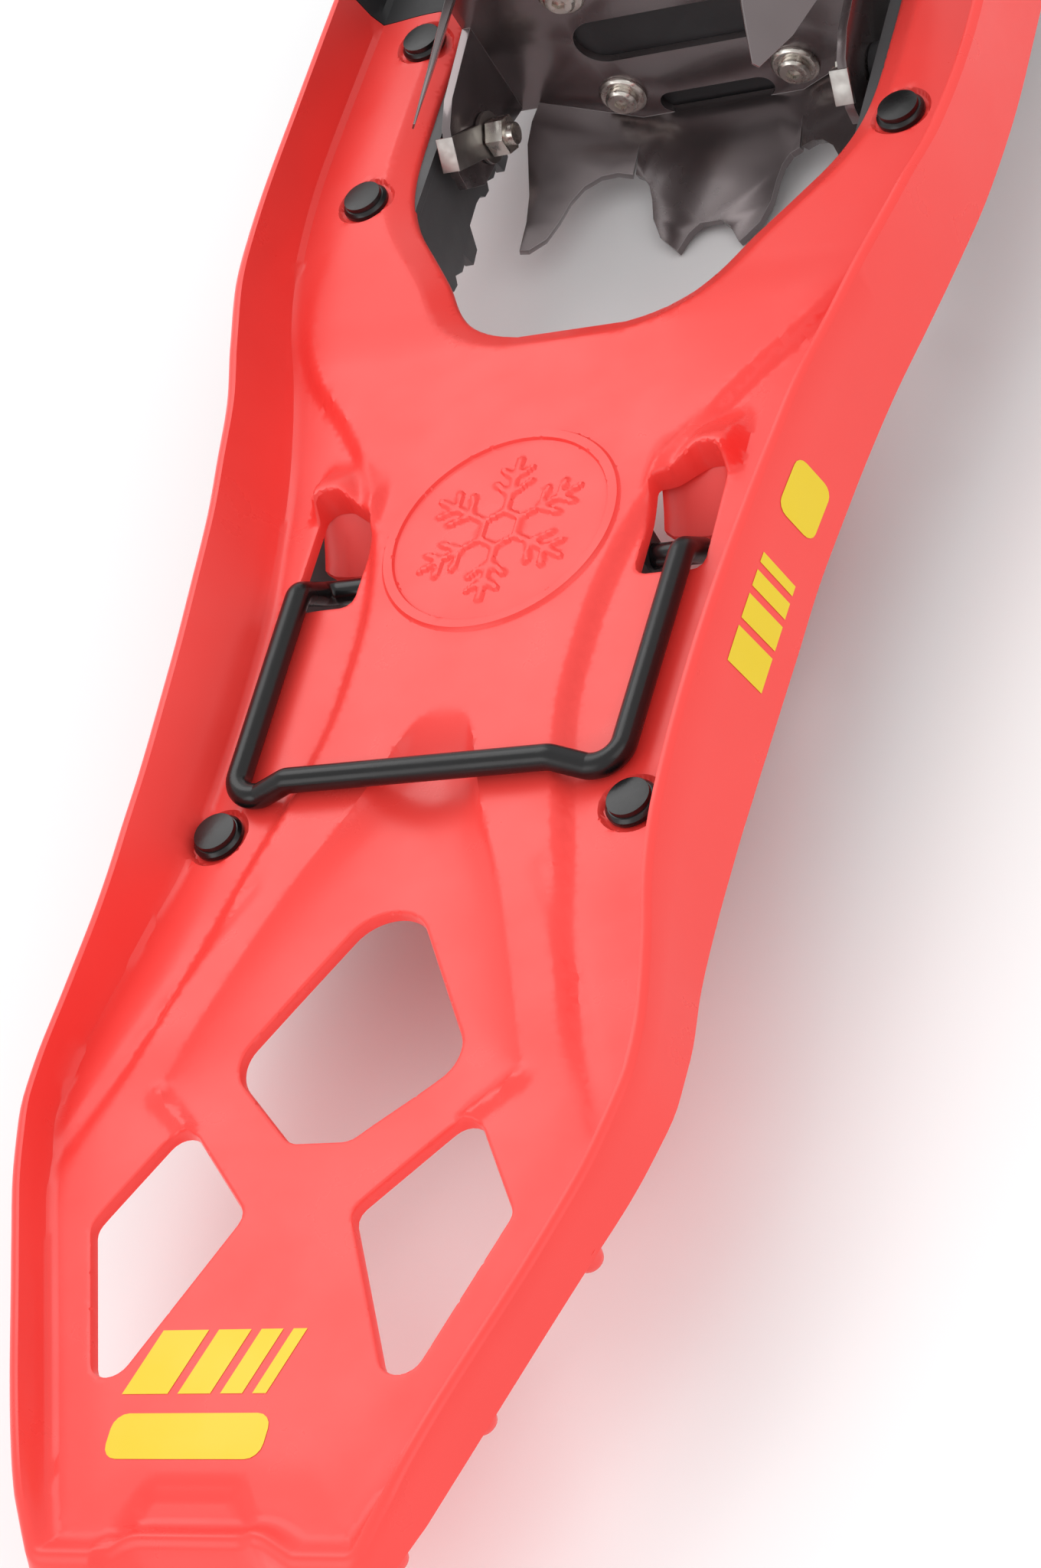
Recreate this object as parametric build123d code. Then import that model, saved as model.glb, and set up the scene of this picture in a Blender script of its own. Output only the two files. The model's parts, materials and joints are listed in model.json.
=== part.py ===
from build123d import *
import math
import os

# One moulded torsion-deck snowshoe with a pivoting toe binding.
# Millimetres, +X right, +Y towards the toe, +Z up. The shapes are drawn in a deck frame whose
# origin is the centre of the raised emblem on the heel plateau, and moved to the part's own
# origin, the centre of the bottom of its box, when they are written.

# ---------------------------------------------------------------- driving dimensions
TOE_Y = 367.0            # toe tip
TAIL_Y = -268.0          # tail edge
SEAM_Y = 196.5           # joint between the tail deck and the front deck
SEAM_GAP = 0.3
SKIN = 3.0               # deck moulding thickness
FLOOR_Z = -3.0           # deck floor, below the plateau
GAP = 0.3                # between parts of different bodies
FIT = 0.03               # radial clearance of shanks in their own body's holes
RUNNING = 0.05           # radial clearance of hinge pins

OPENING_HALF = 65.5      # widest half-width of the foot opening
OPENING_REAR_Y = 67.5
OPENING_FRONT_Y = 285.0

STUDS = [(53.1, -82.5), (75.5, 125.6), (74.8, 185.1), (76.0, 232.0)]
STUD_HEAD_R = 6.25
STUD_SHANK_R = 2.6
STUD_POCKET_R = 7.4
STUD_POCKET_DEPTH = 1.3

STEEL = 2.5              # rail and crampon sheet
RAIL_TOP = FLOOR_Z - SKIN - 1.3
RAIL_TIP = -37.6
TOOTH_PITCH = 35.0

WIRE_R = 3.0             # heel-lift bail
BAIL_X = 50.8
BAIL_BAR_Y = -73.6
BAIL_HINGE_Y = -5.0
BAIL_HINGE_Z = -10.0
BAIL_ARM_Z = 0.5
BAIL_BAR_Z = 3.8         # the bar steps up over the plateau

PIVOT_Y = 158.5          # binding hinge axis
PIVOT_Z = -17.0
TILT = 86.0              # the binding is stored toe-down by this angle
BOLT_R = 3.0
EAR_X = 55.0             # inner face of the crampon's side ears
LOCK_REACH = 20.4        # the lock washer's tab hooks round the ear's edge
LOCK_TURN = 36.9
RAIL_X = 62.0            # inner face of the rails beside the hinge

PLATE_Z = 21.2           # underside of the crampon plate above the hinge axis, binding level
BED_Z = PLATE_Z + STEEL + 0.05
BED_THICK = 4.2
SCREW_X = 25.2
SCREW_FRONT_Y = 13.5
SCREW_REAR_Y = -25.5

ARCH_R = 50.0            # harness wings and straps follow one arch round the foot
ARCH_Z = 38.0
WING_THICK = 3.0
STRAP_THICK = 2.4
STRAP_WIDE = 22.0
FOREFOOT_Y = 8.0
RATCHET_WALL = 11.0
LEVER_ANGLE = 133        # place of a ratchet lever's pin round the arch
LEVER_LIFT = 4.6         # height of that pin above the strap
LEVER_WIDE = STRAP_WIDE - 3.0
PIN_R = 1.5
PIN_HEAD_R = 2.4
RIVET_R = 2.0
BASE_RIVET_R = 1.8
INSTEP_Y = -40.0
HEEL_HINGE_Y = -58.0
HEEL_HINGE_Z = 40.0
HEEL_BACK_Y = -125.0     # centre of the heel loop's round end

OUT = "parts"
os.makedirs(OUT, exist_ok=True)
NODES = {}


def keep(name, *shapes):
    """Remember a node's solids, in the deck frame."""
    NODES[name] = [s for shape in shapes for s in shape.solids()]


def write_parts():
    """Move every node so that the origin is the centre of the bottom of the whole box."""
    box = Compound([s for solids in NODES.values() for s in solids]).bounding_box()
    shift = Location((0, -(box.min.Y + box.max.Y) / 2, -box.min.Z))
    for name, solids in NODES.items():
        moved = [s.moved(shift) for s in solids]
        export_step(Compound(moved) if len(moved) > 1 else moved[0], f"{OUT}/{name}.step")
    print("origin of the deck frame, mm:", shift.position, "box:", box.size)


def tilted(shape):
    """Binding parts are drawn level about the hinge axis, then stored toe-down."""
    return Location((0, PIVOT_Y, PIVOT_Z)) * Rot(X=-TILT) * shape


def both(shape):
    """A shape and its mirror image across the centre plane."""
    return [shape, mirror(shape, about=Plane.YZ)]


def prism(points, z0, z1):
    """An upright prism on a closed outline."""
    return extrude(Pos(0, 0, z0) * make_face(Polyline(*points, close=True)), z1 - z0)


def drum(radius, length, x=0.0, y=0.0, z=0.0, axis="Z"):
    """A round bar that starts at the point and runs along the axis."""
    turn = {"Z": Rot(0, 0, 0), "X": Rot(0, 90, 0), "Y": Rot(-90, 0, 0)}[axis]
    bar = Cylinder(radius, length, align=(Align.CENTER, Align.CENTER, Align.MIN))
    return Pos(x, y, z) * turn * bar


def block(x0, x1, y0, y1, z0, z1):
    return Pos((x0 + x1) / 2, (y0 + y1) / 2, (z0 + z1) / 2) * Box(x1 - x0, y1 - y0, z1 - z0)


# ---------------------------------------------------------------- decks
# Each station: y, rim half-width, rim height, skirt half-width, skirt bottom, half-width at
# the foot of the inner wall, plateau half-width, plateau height above the floor, and lift.
TAIL_STATIONS = [
    (SEAM_Y, 98.0, 11.5, 101.0, -14.0, 92.0, 80.0, 0.3, 0.0),
    (143.0, 98.5, 11.2, 101.0, -14.0, 93.0, 80.0, 0.3, 0.0),
    (102.0, 96.9, 12.6, 98.5, -14.0, 89.6, 80.0, 0.3, 0.0),
    (80.0, 93.1, 14.4, 94.5, -14.0, 84.7, 76.0, 1.0, 0.0),
    (61.0, 88.9, 14.4, 91.0, -14.0, 78.3, 69.0, 3.0, 0.0),
    (42.0, 83.4, 13.6, 87.0, -14.0, 72.6, 54.0, 3.0, 0.0),
    (22.0, 78.6, 14.2, 83.8, -14.0, 67.6, 41.0, 3.0, 0.0),
    (3.5, 75.6, 13.7, 81.5, -14.0, 64.2, 34.0, 3.0, 0.0),
    (-16.0, 73.2, 13.7, 79.4, -14.0, 61.0, 29.5, 3.0, 0.0),
    (-54.0, 70.1, 13.2, 77.4, -14.0, 59.0, 28.4, 3.0, 0.0),
    (-92.0, 69.2, 11.7, 76.1, -13.0, 60.5, 37.0, 3.0, 0.0),
    (-128.0, 73.4, 7.4, 76.6, -11.5, 68.5, 46.0, 2.5, 0.0),
    (-156.0, 76.2, 5.3, 78.5, -11.0, 72.5, 55.0, 1.5, 0.0),
    (-184.0, 71.2, 3.8, 73.0, -10.0, 67.0, 57.0, 0.6, 0.0),
    (-214.0, 60.0, 3.0, 62.5, -9.5, 55.5, 46.0, 0.3, 0.0),
    (-240.0, 50.0, 1.8, 53.0, -9.5, 45.5, 36.0, 0.3, 0.0),
    (TAIL_Y - 2.0, 44.0, 0.5, 46.5, -9.5, 39.5, 30.0, 0.3, 0.0),
]
FRONT_STATIONS = [
    (SEAM_Y + SEAM_GAP, 98.0, 11.5, 101.0, -14.0, 92.0, 80.0, 0.3, 0.0),
    (232.0, 97.5, 11.5, 100.6, -14.0, 91.0, 80.0, 0.3, 0.0),
    (265.0, 95.5, 11.0, 98.6, -13.5, 88.5, 78.0, 0.3, 3.0),
    (296.0, 88.0, 10.0, 91.5, -12.5, 80.5, 68.0, 0.3, 10.5),
    (324.0, 74.5, 9.0, 78.0, -11.0, 66.5, 54.0, 0.3, 19.5),
    (344.0, 56.5, 8.0, 60.0, -10.0, 48.0, 38.0, 0.3, 27.5),
    (356.0, 39.5, 7.3, 43.0, -9.5, 31.5, 24.0, 1.5, 32.0),
    (364.0, 20.5, 6.6, 23.5, -8.8, 15.0, 11.0, 7.5, 35.5),
    (TOE_Y, 10.0, 6.2, 12.0, -6.0, 6.6, 5.0, 9.0, 37.0),
]


def deck_section(y, rim, rim_z, skirt, skirt_z, foot, plateau, rise, lift):
    """The moulding's cross-section: skirt, rim, inner wall, floor and raised plateau."""
    half = [
        (skirt, skirt_z), (rim + 0.3, rim_z - 1.2), (rim - 2.2, rim_z),
        (foot, FLOOR_Z - 1.0), (plateau + 0.35 * (foot - plateau), FLOOR_Z),
        (plateau, FLOOR_Z + rise),
    ]
    under = [
        (plateau - 0.5, FLOOR_Z + rise - SKIN),
        (plateau + 0.3 * (foot - plateau), FLOOR_Z - SKIN),
        (foot + 0.8, FLOOR_Z - 1.0 - SKIN),
        (rim - 1.8, rim_z - 4.4), (skirt - SKIN, skirt_z),
    ]
    middle = plateau * 0.4
    order = [(middle, FLOOR_Z + rise - SKIN)] + under + half + [(middle, FLOOR_Z + rise)]
    mirrored = [(-x, z) for x, z in reversed(order)]
    return Polyline(*[(x, y, z + lift) for x, z in order + mirrored], close=True)


def moulding(stations):
    faces = [make_face(deck_section(*s)) for s in stations]
    return loft(faces, ruled=True)


def foot_opening():
    """The through hole that the toe of the boot and the crampon swing in."""
    right = [(15, 0), (20, 1.2), (28.5, 5.5), (34.5, 11.5), (43, 25.5), (50.5, 36.5), (58, 47.5),
             (62, 56), (64.4, 66), (OPENING_HALF, 92)]
    right = [(x, OPENING_REAR_Y + dy) for x, dy in right]
    left = [(-x, y) for x, y in reversed(right)]
    arc_y = 215.0
    outline = [
        Line(left[-1], right[0]), Spline(*right, tangents=((1, 0), (0, 1))),
        Line(right[-1], (OPENING_HALF, arc_y)),
        ThreePointArc((OPENING_HALF, arc_y), (0, OPENING_FRONT_Y), (-OPENING_HALF, arc_y)),
        Line((-OPENING_HALF, arc_y), left[0]), Spline(*left, tangents=((0, -1), (1, 0))),
    ]
    return extrude(Pos(0, 0, -30) * make_face(outline), 90)


def rounded_window(points, radii):
    """A through cut with its own radius at each corner."""
    path = FilletPolyline(*points, radius=radii, close=True)
    return extrude(Pos(0, 0, -30) * make_face(path), 60)


def tail_windows():
    diamond = rounded_window([(0, -96), (29.5, -146.6), (7.5, -167.5), (-7.5, -167.5), (-29.5, -146.6)],
                             [11, 9, 5, 5, 9])
    kite = rounded_window([(35.7, -160.5), (51.5, -186.5), (35.6, -231.5), (13.0, -185)], [5, 4, 5, 4])
    return [diamond] + both(kite)


def tail_trim():
    """Two rounded lobes either side of a short straight edge."""
    outline = FilletPolyline((-70, -190), (-46.5, -256), (-38, -270), (-24, -269), (-16, TAIL_Y + 3),
                             (16, TAIL_Y + 3), (24, -269), (38, -270), (46.5, -256), (70, -190),
                             (120, -170), (120, 300), (-120, 300), (-120, -170),
                             radius=[4, 14, 9, 7, 4, 4, 7, 9, 14, 4, 2, 2, 2, 2], close=True)
    return extrude(Pos(0, 0, -30) * make_face(outline), 90)


def stud_holes(deck, places):
    for x, y in places:
        for side in (-1, 1):
            deck -= drum(STUD_SHANK_R + FIT, 20, side * x, y, -20)
            deck -= drum(STUD_POCKET_R, 20, side * x, y, FLOOR_Z - STUD_POCKET_DEPTH)
    return deck


def make_decks():
    tail = moulding(TAIL_STATIONS)
    for cut in [foot_opening()] + tail_windows():
        tail -= cut
    tail &= tail_trim()
    for slot in both(rounded_window([(37.5, -16), (54.5, -16), (54.5, 13), (37.5, 13)], [3, 3, 3, 3])):
        tail -= slot
    tail = stud_holes(tail, [s for s in STUDS if s[1] < SEAM_Y])
    hood_side = Polyline((13.2, FLOOR_Z - 1), (13.2, 2.2), (17, 2.6), (26, FLOOR_Z - 1), close=True)
    hood = extrude(Plane.YZ * make_face(hood_side), 17)
    for piece in both(Pos(37.5, 0, 0) * hood):
        tail += piece
    for x, y in [(70, -193), (56, -227), (36.5, -258)]:
        for side in (-1, 1):
            tail += drum(3.4, 10, side * x, y, -13.5)
    keep("tail_deck", tail)

    front = moulding(FRONT_STATIONS)
    front -= foot_opening()
    front = stud_holes(front, [s for s in STUDS if s[1] > SEAM_Y])
    keep("front_deck", front)


def make_studs():
    heads, collars = [], []
    for x, y in STUDS:
        seat = FLOOR_Z - STUD_POCKET_DEPTH
        flange_bottom = RAIL_TOP - STEEL
        for side in (-1, 1):
            cap = drum(STUD_HEAD_R, 2.0, side * x, y, seat)
            crown = drum(STUD_HEAD_R - 1.1, 1.3, side * x, y, seat + 2.0)
            shank = drum(STUD_SHANK_R, seat - flange_bottom + 3.0, side * x, y, flange_bottom - 3.0)
            heads.append(chamfer(cap.edges().group_by(Axis.Z)[-1], 0.8) + crown + shank)
            collar = drum(5.0, 2.4, side * x, y, flange_bottom - 2.4)
            collars.append(collar - drum(STUD_SHANK_R + FIT, 3, side * x, y, flange_bottom - 2.7))
    keep("deck_studs", *heads)
    keep("stud_collars", *collars)


# ---------------------------------------------------------------- rails
RAIL_PATH = [(60.0, -98.0), (60.0, -60.0), (59.5, -15.0), (60.0, 30.0), (61.5, 80.0),
             (RAIL_X, 125.0), (RAIL_X, 215.0), (RAIL_X, 255.0)]
FLANGE_OUT = [(63.5, -98.0), (63.5, -60.0), (63.0, -15.0), (64.5, 30.0), (74.0, 80.0),
              (83.0, 125.0), (83.0, 215.0), (80.0, 255.0)]
FLANGE_IN = [(46.0, -98.0), (46.0, -72.0), (57.5, -52.0), (58.5, -15.0), (59.0, 30.0),
             (61.0, 80.0), (RAIL_X, 125.0), (RAIL_X, 255.0)]


def rail_cut():
    """Side outline of the toothed lower edge: one long hook and three short ones a group."""
    points = [(-120.0, -60.0), (-120.0, -17.0), (-99.0, -17.0), (-78.0, -25.0)]
    y = -61.0
    while y < 245.0:
        points += [(y, -30.5), (y + 3.5, -31.2), (y + 5.0, -33.2), (y + 8.0, -33.8), (y + 9.5, -31.8),
                   (y + 13.0, -34.0), (y + 16.0, -33.8), (y + 17.5, -32.0), (y + 19.0, RAIL_TIP),
                   (y + 24.0, RAIL_TIP + 0.6), (y + 27.0, -30.8)]
        y += TOOTH_PITCH
    points += [(258.0, -24.0), (300.0, -20.0), (300.0, -60.0)]
    return extrude(Plane.YZ * make_face(Polyline(*points, close=True)), 200)


def make_rails():
    inner = Spline(*RAIL_PATH)
    outer = Spline(*[(x + STEEL, y) for x, y in RAIL_PATH])
    blade_face = make_face([inner, outer, Line(RAIL_PATH[0], outer @ 0), Line(RAIL_PATH[-1], outer @ 1)])
    flange_face = make_face(Polyline(*FLANGE_OUT, *reversed(FLANGE_IN), close=True))
    rail = extrude(Pos(0, 0, RAIL_TIP - 1) * blade_face, RAIL_TOP - RAIL_TIP + 1)
    rail += extrude(Pos(0, 0, RAIL_TOP - STEEL) * flange_face, STEEL)
    rail -= rail_cut()
    for x, y in STUDS:
        rail -= drum(STUD_SHANK_R + FIT, 30, x, y, -30)
    rail -= drum(BOLT_R + 1.5, 40, RAIL_X - 10, PIVOT_Y, PIVOT_Z, "X")
    right, left = both(rail)
    keep("right_rail", right)
    keep("left_rail", left)


# ---------------------------------------------------------------- heel-lift bail
def make_bail():
    """Bent wire: two hinge pins, two arms and a rear bar, folded flat on the deck."""
    pin_x = BAIL_X - 20.0
    step_y = BAIL_BAR_Y - 1.0
    route = [(pin_x, BAIL_HINGE_Y, BAIL_HINGE_Z), (BAIL_X, BAIL_HINGE_Y, BAIL_HINGE_Z),
             (BAIL_X, BAIL_HINGE_Y - 8.5, BAIL_ARM_Z), (BAIL_X - 1.2, step_y, BAIL_ARM_Z),
             (BAIL_X - 8.6, step_y, BAIL_ARM_Z), (BAIL_X - 17.0, BAIL_BAR_Y, BAIL_BAR_Z)]
    left = [(-x, y, z) for x, y, z in reversed(route)]
    path = FilletPolyline(*(route + left), radius=[4.0, 4.0, 6.2, 4.0, 4.0, 4.0, 4.0, 6.2, 4.0, 4.0])
    wire = sweep(Plane(origin=route[0], z_dir=(1, 0, 0)) * Circle(WIRE_R), path=path)
    keep("heel_lift_bail", wire)
    holders = []
    for side in (-1, 1):
        saddle = block(pin_x - 6.0, pin_x + 6.4, BAIL_HINGE_Y - 5, BAIL_HINGE_Y + 5, BAIL_HINGE_Z - 5,
                       FLOOR_Z - SKIN - 0.2)
        saddle -= drum(WIRE_R + RUNNING, 40, pin_x - 0.4, BAIL_HINGE_Y, BAIL_HINGE_Z, "X")
        holders.append(saddle if side > 0 else mirror(saddle, about=Plane.YZ))
    keep("bail_retainer_right", holders[1])
    keep("bail_retainer_left", holders[0])


# ---------------------------------------------------------------- crampon and hinge
def sheet_on(origin, x_dir, normal, points, thick=STEEL):
    """A flat toothed blade drawn in its own plane."""
    plane = Plane(origin=origin, x_dir=x_dir, z_dir=normal)
    return extrude(plane * make_face(Polyline(*points, close=True)), thick)


def slot_cut(length, width, y, z):
    return extrude(Pos(0, y, z) * SlotOverall(length, width), 20)


def make_crampon():
    side_x = EAR_X + STEEL
    top = PLATE_Z + STEEL
    front_y, nose_y, nose_x = 13.0, 25.0, 24.0
    outline = [(-side_x, front_y), (-50, front_y), (-nose_x, nose_y), (nose_x, nose_y), (50, front_y),
               (side_x, front_y), (side_x, -30), (40, -53), (-40, -53), (-side_x, -30)]
    crampon = prism(outline, PLATE_Z, top)
    crampon -= slot_cut(60, 15, -6.5, PLATE_Z - 5)
    crampon -= slot_cut(33, 7.5, 19.5, PLATE_Z - 5)
    for x in (-SCREW_X, SCREW_X):
        for y in (SCREW_FRONT_Y, SCREW_REAR_Y):
            crampon -= drum(2.5 + FIT, 20, x, y, PLATE_Z - 5)

    lean = math.radians(12)
    half_nose = [(nose_x, 0), (nose_x, -19.5), (21.4, -20.8), (19.4, -23.8), (18.2, -28), (17.2, -34),
                 (14.5, -40), (9, -45), (6, -40), (3, -37.5)]
    nose = half_nose + [(-x, y) for x, y in reversed(half_nose)]
    crampon += sheet_on((0, nose_y, top), (1, 0, 0), (0, -math.cos(lean), -math.sin(lean)), nose)
    run = math.hypot(50 - nose_x, nose_y - front_y)
    along = ((50 - nose_x) / run, (front_y - nose_y) / run, 0)
    inward = Vector(along[1], -along[0], 0) * math.cos(lean) + Vector(0, 0, -math.sin(lean))
    wing = [(0, 0), (run, 0), (run + 1.2, -8), (run + 1.0, -15), (run - 0.6, -22), (run - 2.4, -30),
            (run - 3.2, -38), (run - 3.0, -46.5), (run - 5.5, -46), (run - 9.5, -42), (run - 12.0, -36),
            (run - 13.8, -30), (run - 16.5, -25), (run - 20.5, -21.3), (4, -19.6), (0, -19.5)]
    for piece in both(sheet_on((nose_x, nose_y, top), along, inward, wing)):
        crampon += piece

    chamfer_run = math.hypot(side_x - 40, 23)
    diagonal = ((40 - side_x) / chamfer_run, -23 / chamfer_run, 0)
    heel_in = (diagonal[1], -diagonal[0], 0)
    rear = [(0, 0), (chamfer_run, 0), (chamfer_run - 1.0, -14), (chamfer_run - 3.2, -28),
            (chamfer_run - 7.5, -42), (chamfer_run / 2 + 1, -57), (chamfer_run / 2 - 1, -57),
            (7.0, -43), (3.0, -29), (1.0, -15)]
    for piece in both(sheet_on((side_x, -30, top), diagonal, heel_in, rear)):
        crampon += piece

    ear = [(front_y, top), (9, 12), (7.5, 0), (5, -12), (-2, -19.5), (-7, -19), (-12, -16), (-16.5, -11),
           (-19, -3), (-20, top)]
    ear_solid = extrude(Plane.YZ * make_face(Polyline(*ear, close=True)), STEEL)
    tab = drum(9.5, STEEL, 0, -6.0, top, "X") & block(-1, 10, -20, 10, top - 1, top + 20)
    ear_solid = Pos(EAR_X, 0, 0) * (ear_solid + tab)
    ear_solid -= drum(BOLT_R + FIT, 20, EAR_X - 5, 0, 0, "X")
    for piece in both(ear_solid):
        crampon += piece
    keep("toe_crampon", tilted(crampon))

    washers, screws, backs = [], [], []
    for x in (-SCREW_X, SCREW_X):
        for y in (SCREW_FRONT_Y, SCREW_REAR_Y):
            ring = drum(6.5, 1.4, x, y, PLATE_Z - 1.4)
            ring = chamfer(ring.edges().group_by(Axis.Z)[0], 0.7) - drum(2.5 + FIT, 5, x, y, PLATE_Z - 3)
            washers.append(tilted(ring))
            head = drum(4.3, 2.2, x, y, PLATE_Z - 3.6)
            head = chamfer(head.edges().group_by(Axis.Z)[0], 0.7)
            head -= extrude(Pos(x, y, PLATE_Z - 4) * RegularPolygon(1.9, 6), 1.6)
            shank = drum(2.5, BED_Z + BED_THICK - 0.6 - (PLATE_Z - 1.4), x, y, PLATE_Z - 1.4)
            screws.append(tilted(head + shank))
            nut = extrude(Pos(x, y, BED_Z + BED_THICK - 2.6) * RegularPolygon(5.2, 6), 2.0)
            backs.append(tilted(nut - drum(2.5 + FIT, 6, x, y, BED_Z)))
    keep("screw_washers", *washers)
    keep("crampon_screws", *screws)
    keep("footbed_nuts", *backs)


def make_hinge():
    """A bolt each side joins the crampon's ear to the rail, and turns in a bush in the rail."""
    bolts, nuts, locks, bushes = [], [], [], []
    rail_out = RAIL_X + STEEL
    for side in (-1, 1):
        head = extrude(Plane.YZ * RegularPolygon(5.4, 6), 3.6)
        bolt = Pos(rail_out + 1.3, 0, 0) * head + drum(BOLT_R, rail_out + 2 - 46.0, 46.0, 0, 0, "X")
        nut = extrude(Plane.YZ * RegularPolygon(5.4, 6), 5.0) - drum(BOLT_R + FIT, 8, -1, 0, 0, "X")
        nut = Pos(EAR_X - 7.0, 0, 0) * nut
        lock = block(EAR_X - 1.5, EAR_X - 0.3, -4.5, 4.5, -LOCK_REACH - 1.2, -4)
        lock += block(EAR_X - 1.5, EAR_X + STEEL + 1.0, -4.5, 4.5, -LOCK_REACH - 1.2, -LOCK_REACH)
        lock = drum(7.0, 1.2, EAR_X - 1.5, 0, 0, "X") + Rot(X=-LOCK_TURN) * lock
        lock -= drum(BOLT_R + FIT, 8, EAR_X - 3, 0, 0, "X")
        flange = drum(7.0, RAIL_X - 0.1 - (EAR_X + STEEL + GAP), EAR_X + STEEL + GAP, 0, 0, "X")
        bush = flange + drum(BOLT_R + 1.5 - FIT, STEEL + 0.8, RAIL_X - 0.2, 0, 0, "X")
        bush -= drum(BOLT_R + RUNNING, 20, EAR_X, 0, 0, "X")
        for shapes, shape in ((bolts, bolt), (nuts, nut), (locks, lock)):
            shapes.append(tilted(shape if side > 0 else mirror(shape, about=Plane.YZ)))
        bush = Pos(0, PIVOT_Y, PIVOT_Z) * bush
        bushes.append(bush if side > 0 else mirror(bush, about=Plane.YZ))
    keep("hinge_bolts", *bolts)
    keep("hinge_nuts", *nuts)
    keep("lock_washers", *locks)
    keep("hinge_bushes", *bushes)


# ---------------------------------------------------------------- footbed and harness
def arch_band(radius, thick, y, width, start, end):
    """Part of a ring round the foot, from one angle to another, measured from the right side."""
    angles = (start, (start + end) / 2, end)
    outer = [(radius + thick, a) for a in angles]
    inner = [(radius, a) for a in angles]

    def point(r, a):
        return (r * math.cos(math.radians(a)), ARCH_Z + r * math.sin(math.radians(a)))

    out_pts = [point(*p) for p in outer]
    in_pts = [point(*p) for p in inner]
    face = make_face([ThreePointArc(*out_pts), Line(out_pts[-1], in_pts[-1]),
                      ThreePointArc(*in_pts), Line(in_pts[0], out_pts[0])])
    return extrude(Pos(0, y + width / 2, 0) * (Plane.XZ * face), width)


def make_footbed():
    top = BED_Z + BED_THICK
    outline = FilletPolyline((-40, 24), (40, 24), (53, 18), (53, -62), (40, -74), (-40, -74), (-53, -62),
                             (-53, 18), radius=[6, 6, 6, 8, 10, 10, 8, 6], close=True)
    bed = extrude(Pos(0, 0, BED_Z) * make_face(outline), BED_THICK)
    for x in (-SCREW_X, SCREW_X):
        for y in (SCREW_FRONT_Y, SCREW_REAR_Y):
            bed -= drum(2.5 + FIT, 20, x, y, BED_Z - 5)
            bed -= extrude(Pos(x, y, top - 2.6) * RegularPolygon(5.25, 6), 10)
    keep("footbed", tilted(bed))
    keep("footbed_grip", tilted(block(-34, 34, -68, -34, top + FIT, top + 1.6)))


def across(radius, length, y, angle, start):
    """A round bar that runs outward from the arch's centre line at an angle."""
    return Pos(0, y, ARCH_Z) * Rot(Y=-angle) * drum(radius, length, start, 0, 0, "X")


RIVET_ANGLE = 38         # strap rivets on the right wing
BASE_RIVET_ANGLE = 145   # ratchet rivets on the left wing
BASE_RIVET_SPREAD = 7.0


def rivet_cuts(side):
    """Holes through a wing for its straps or ratchets."""
    cuts = []
    for y in (FOREFOOT_Y, INSTEP_Y):
        if side > 0:
            cuts.append(across(RIVET_R + FIT, 20, y, RIVET_ANGLE, ARCH_R - 5))
        else:
            for dy in (-BASE_RIVET_SPREAD, BASE_RIVET_SPREAD):
                cuts.append(across(BASE_RIVET_R + FIT, 20, y + dy, BASE_RIVET_ANGLE, ARCH_R - 5))
    return cuts


def make_wings():
    bed_top = BED_Z + BED_THICK
    for name, side in (("wing_right", 1), ("wing_left", -1)):
        start, end = (-13, 58) if side > 0 else (122, 193)
        wing = arch_band(ARCH_R, WING_THICK, -24, 92, start, end)
        wing -= block(-70, 70, -80, 40, bed_top - 20, bed_top)
        wing -= drum(2.5 + FIT, 200, -100, HEEL_HINGE_Y, HEEL_HINGE_Z, "X")
        for cut in rivet_cuts(side):
            wing -= cut
        keep(name, tilted(wing))


STRAP_R = ARCH_R + WING_THICK + 2.2
RATCHET_START, RATCHET_END = 116, 152


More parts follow.
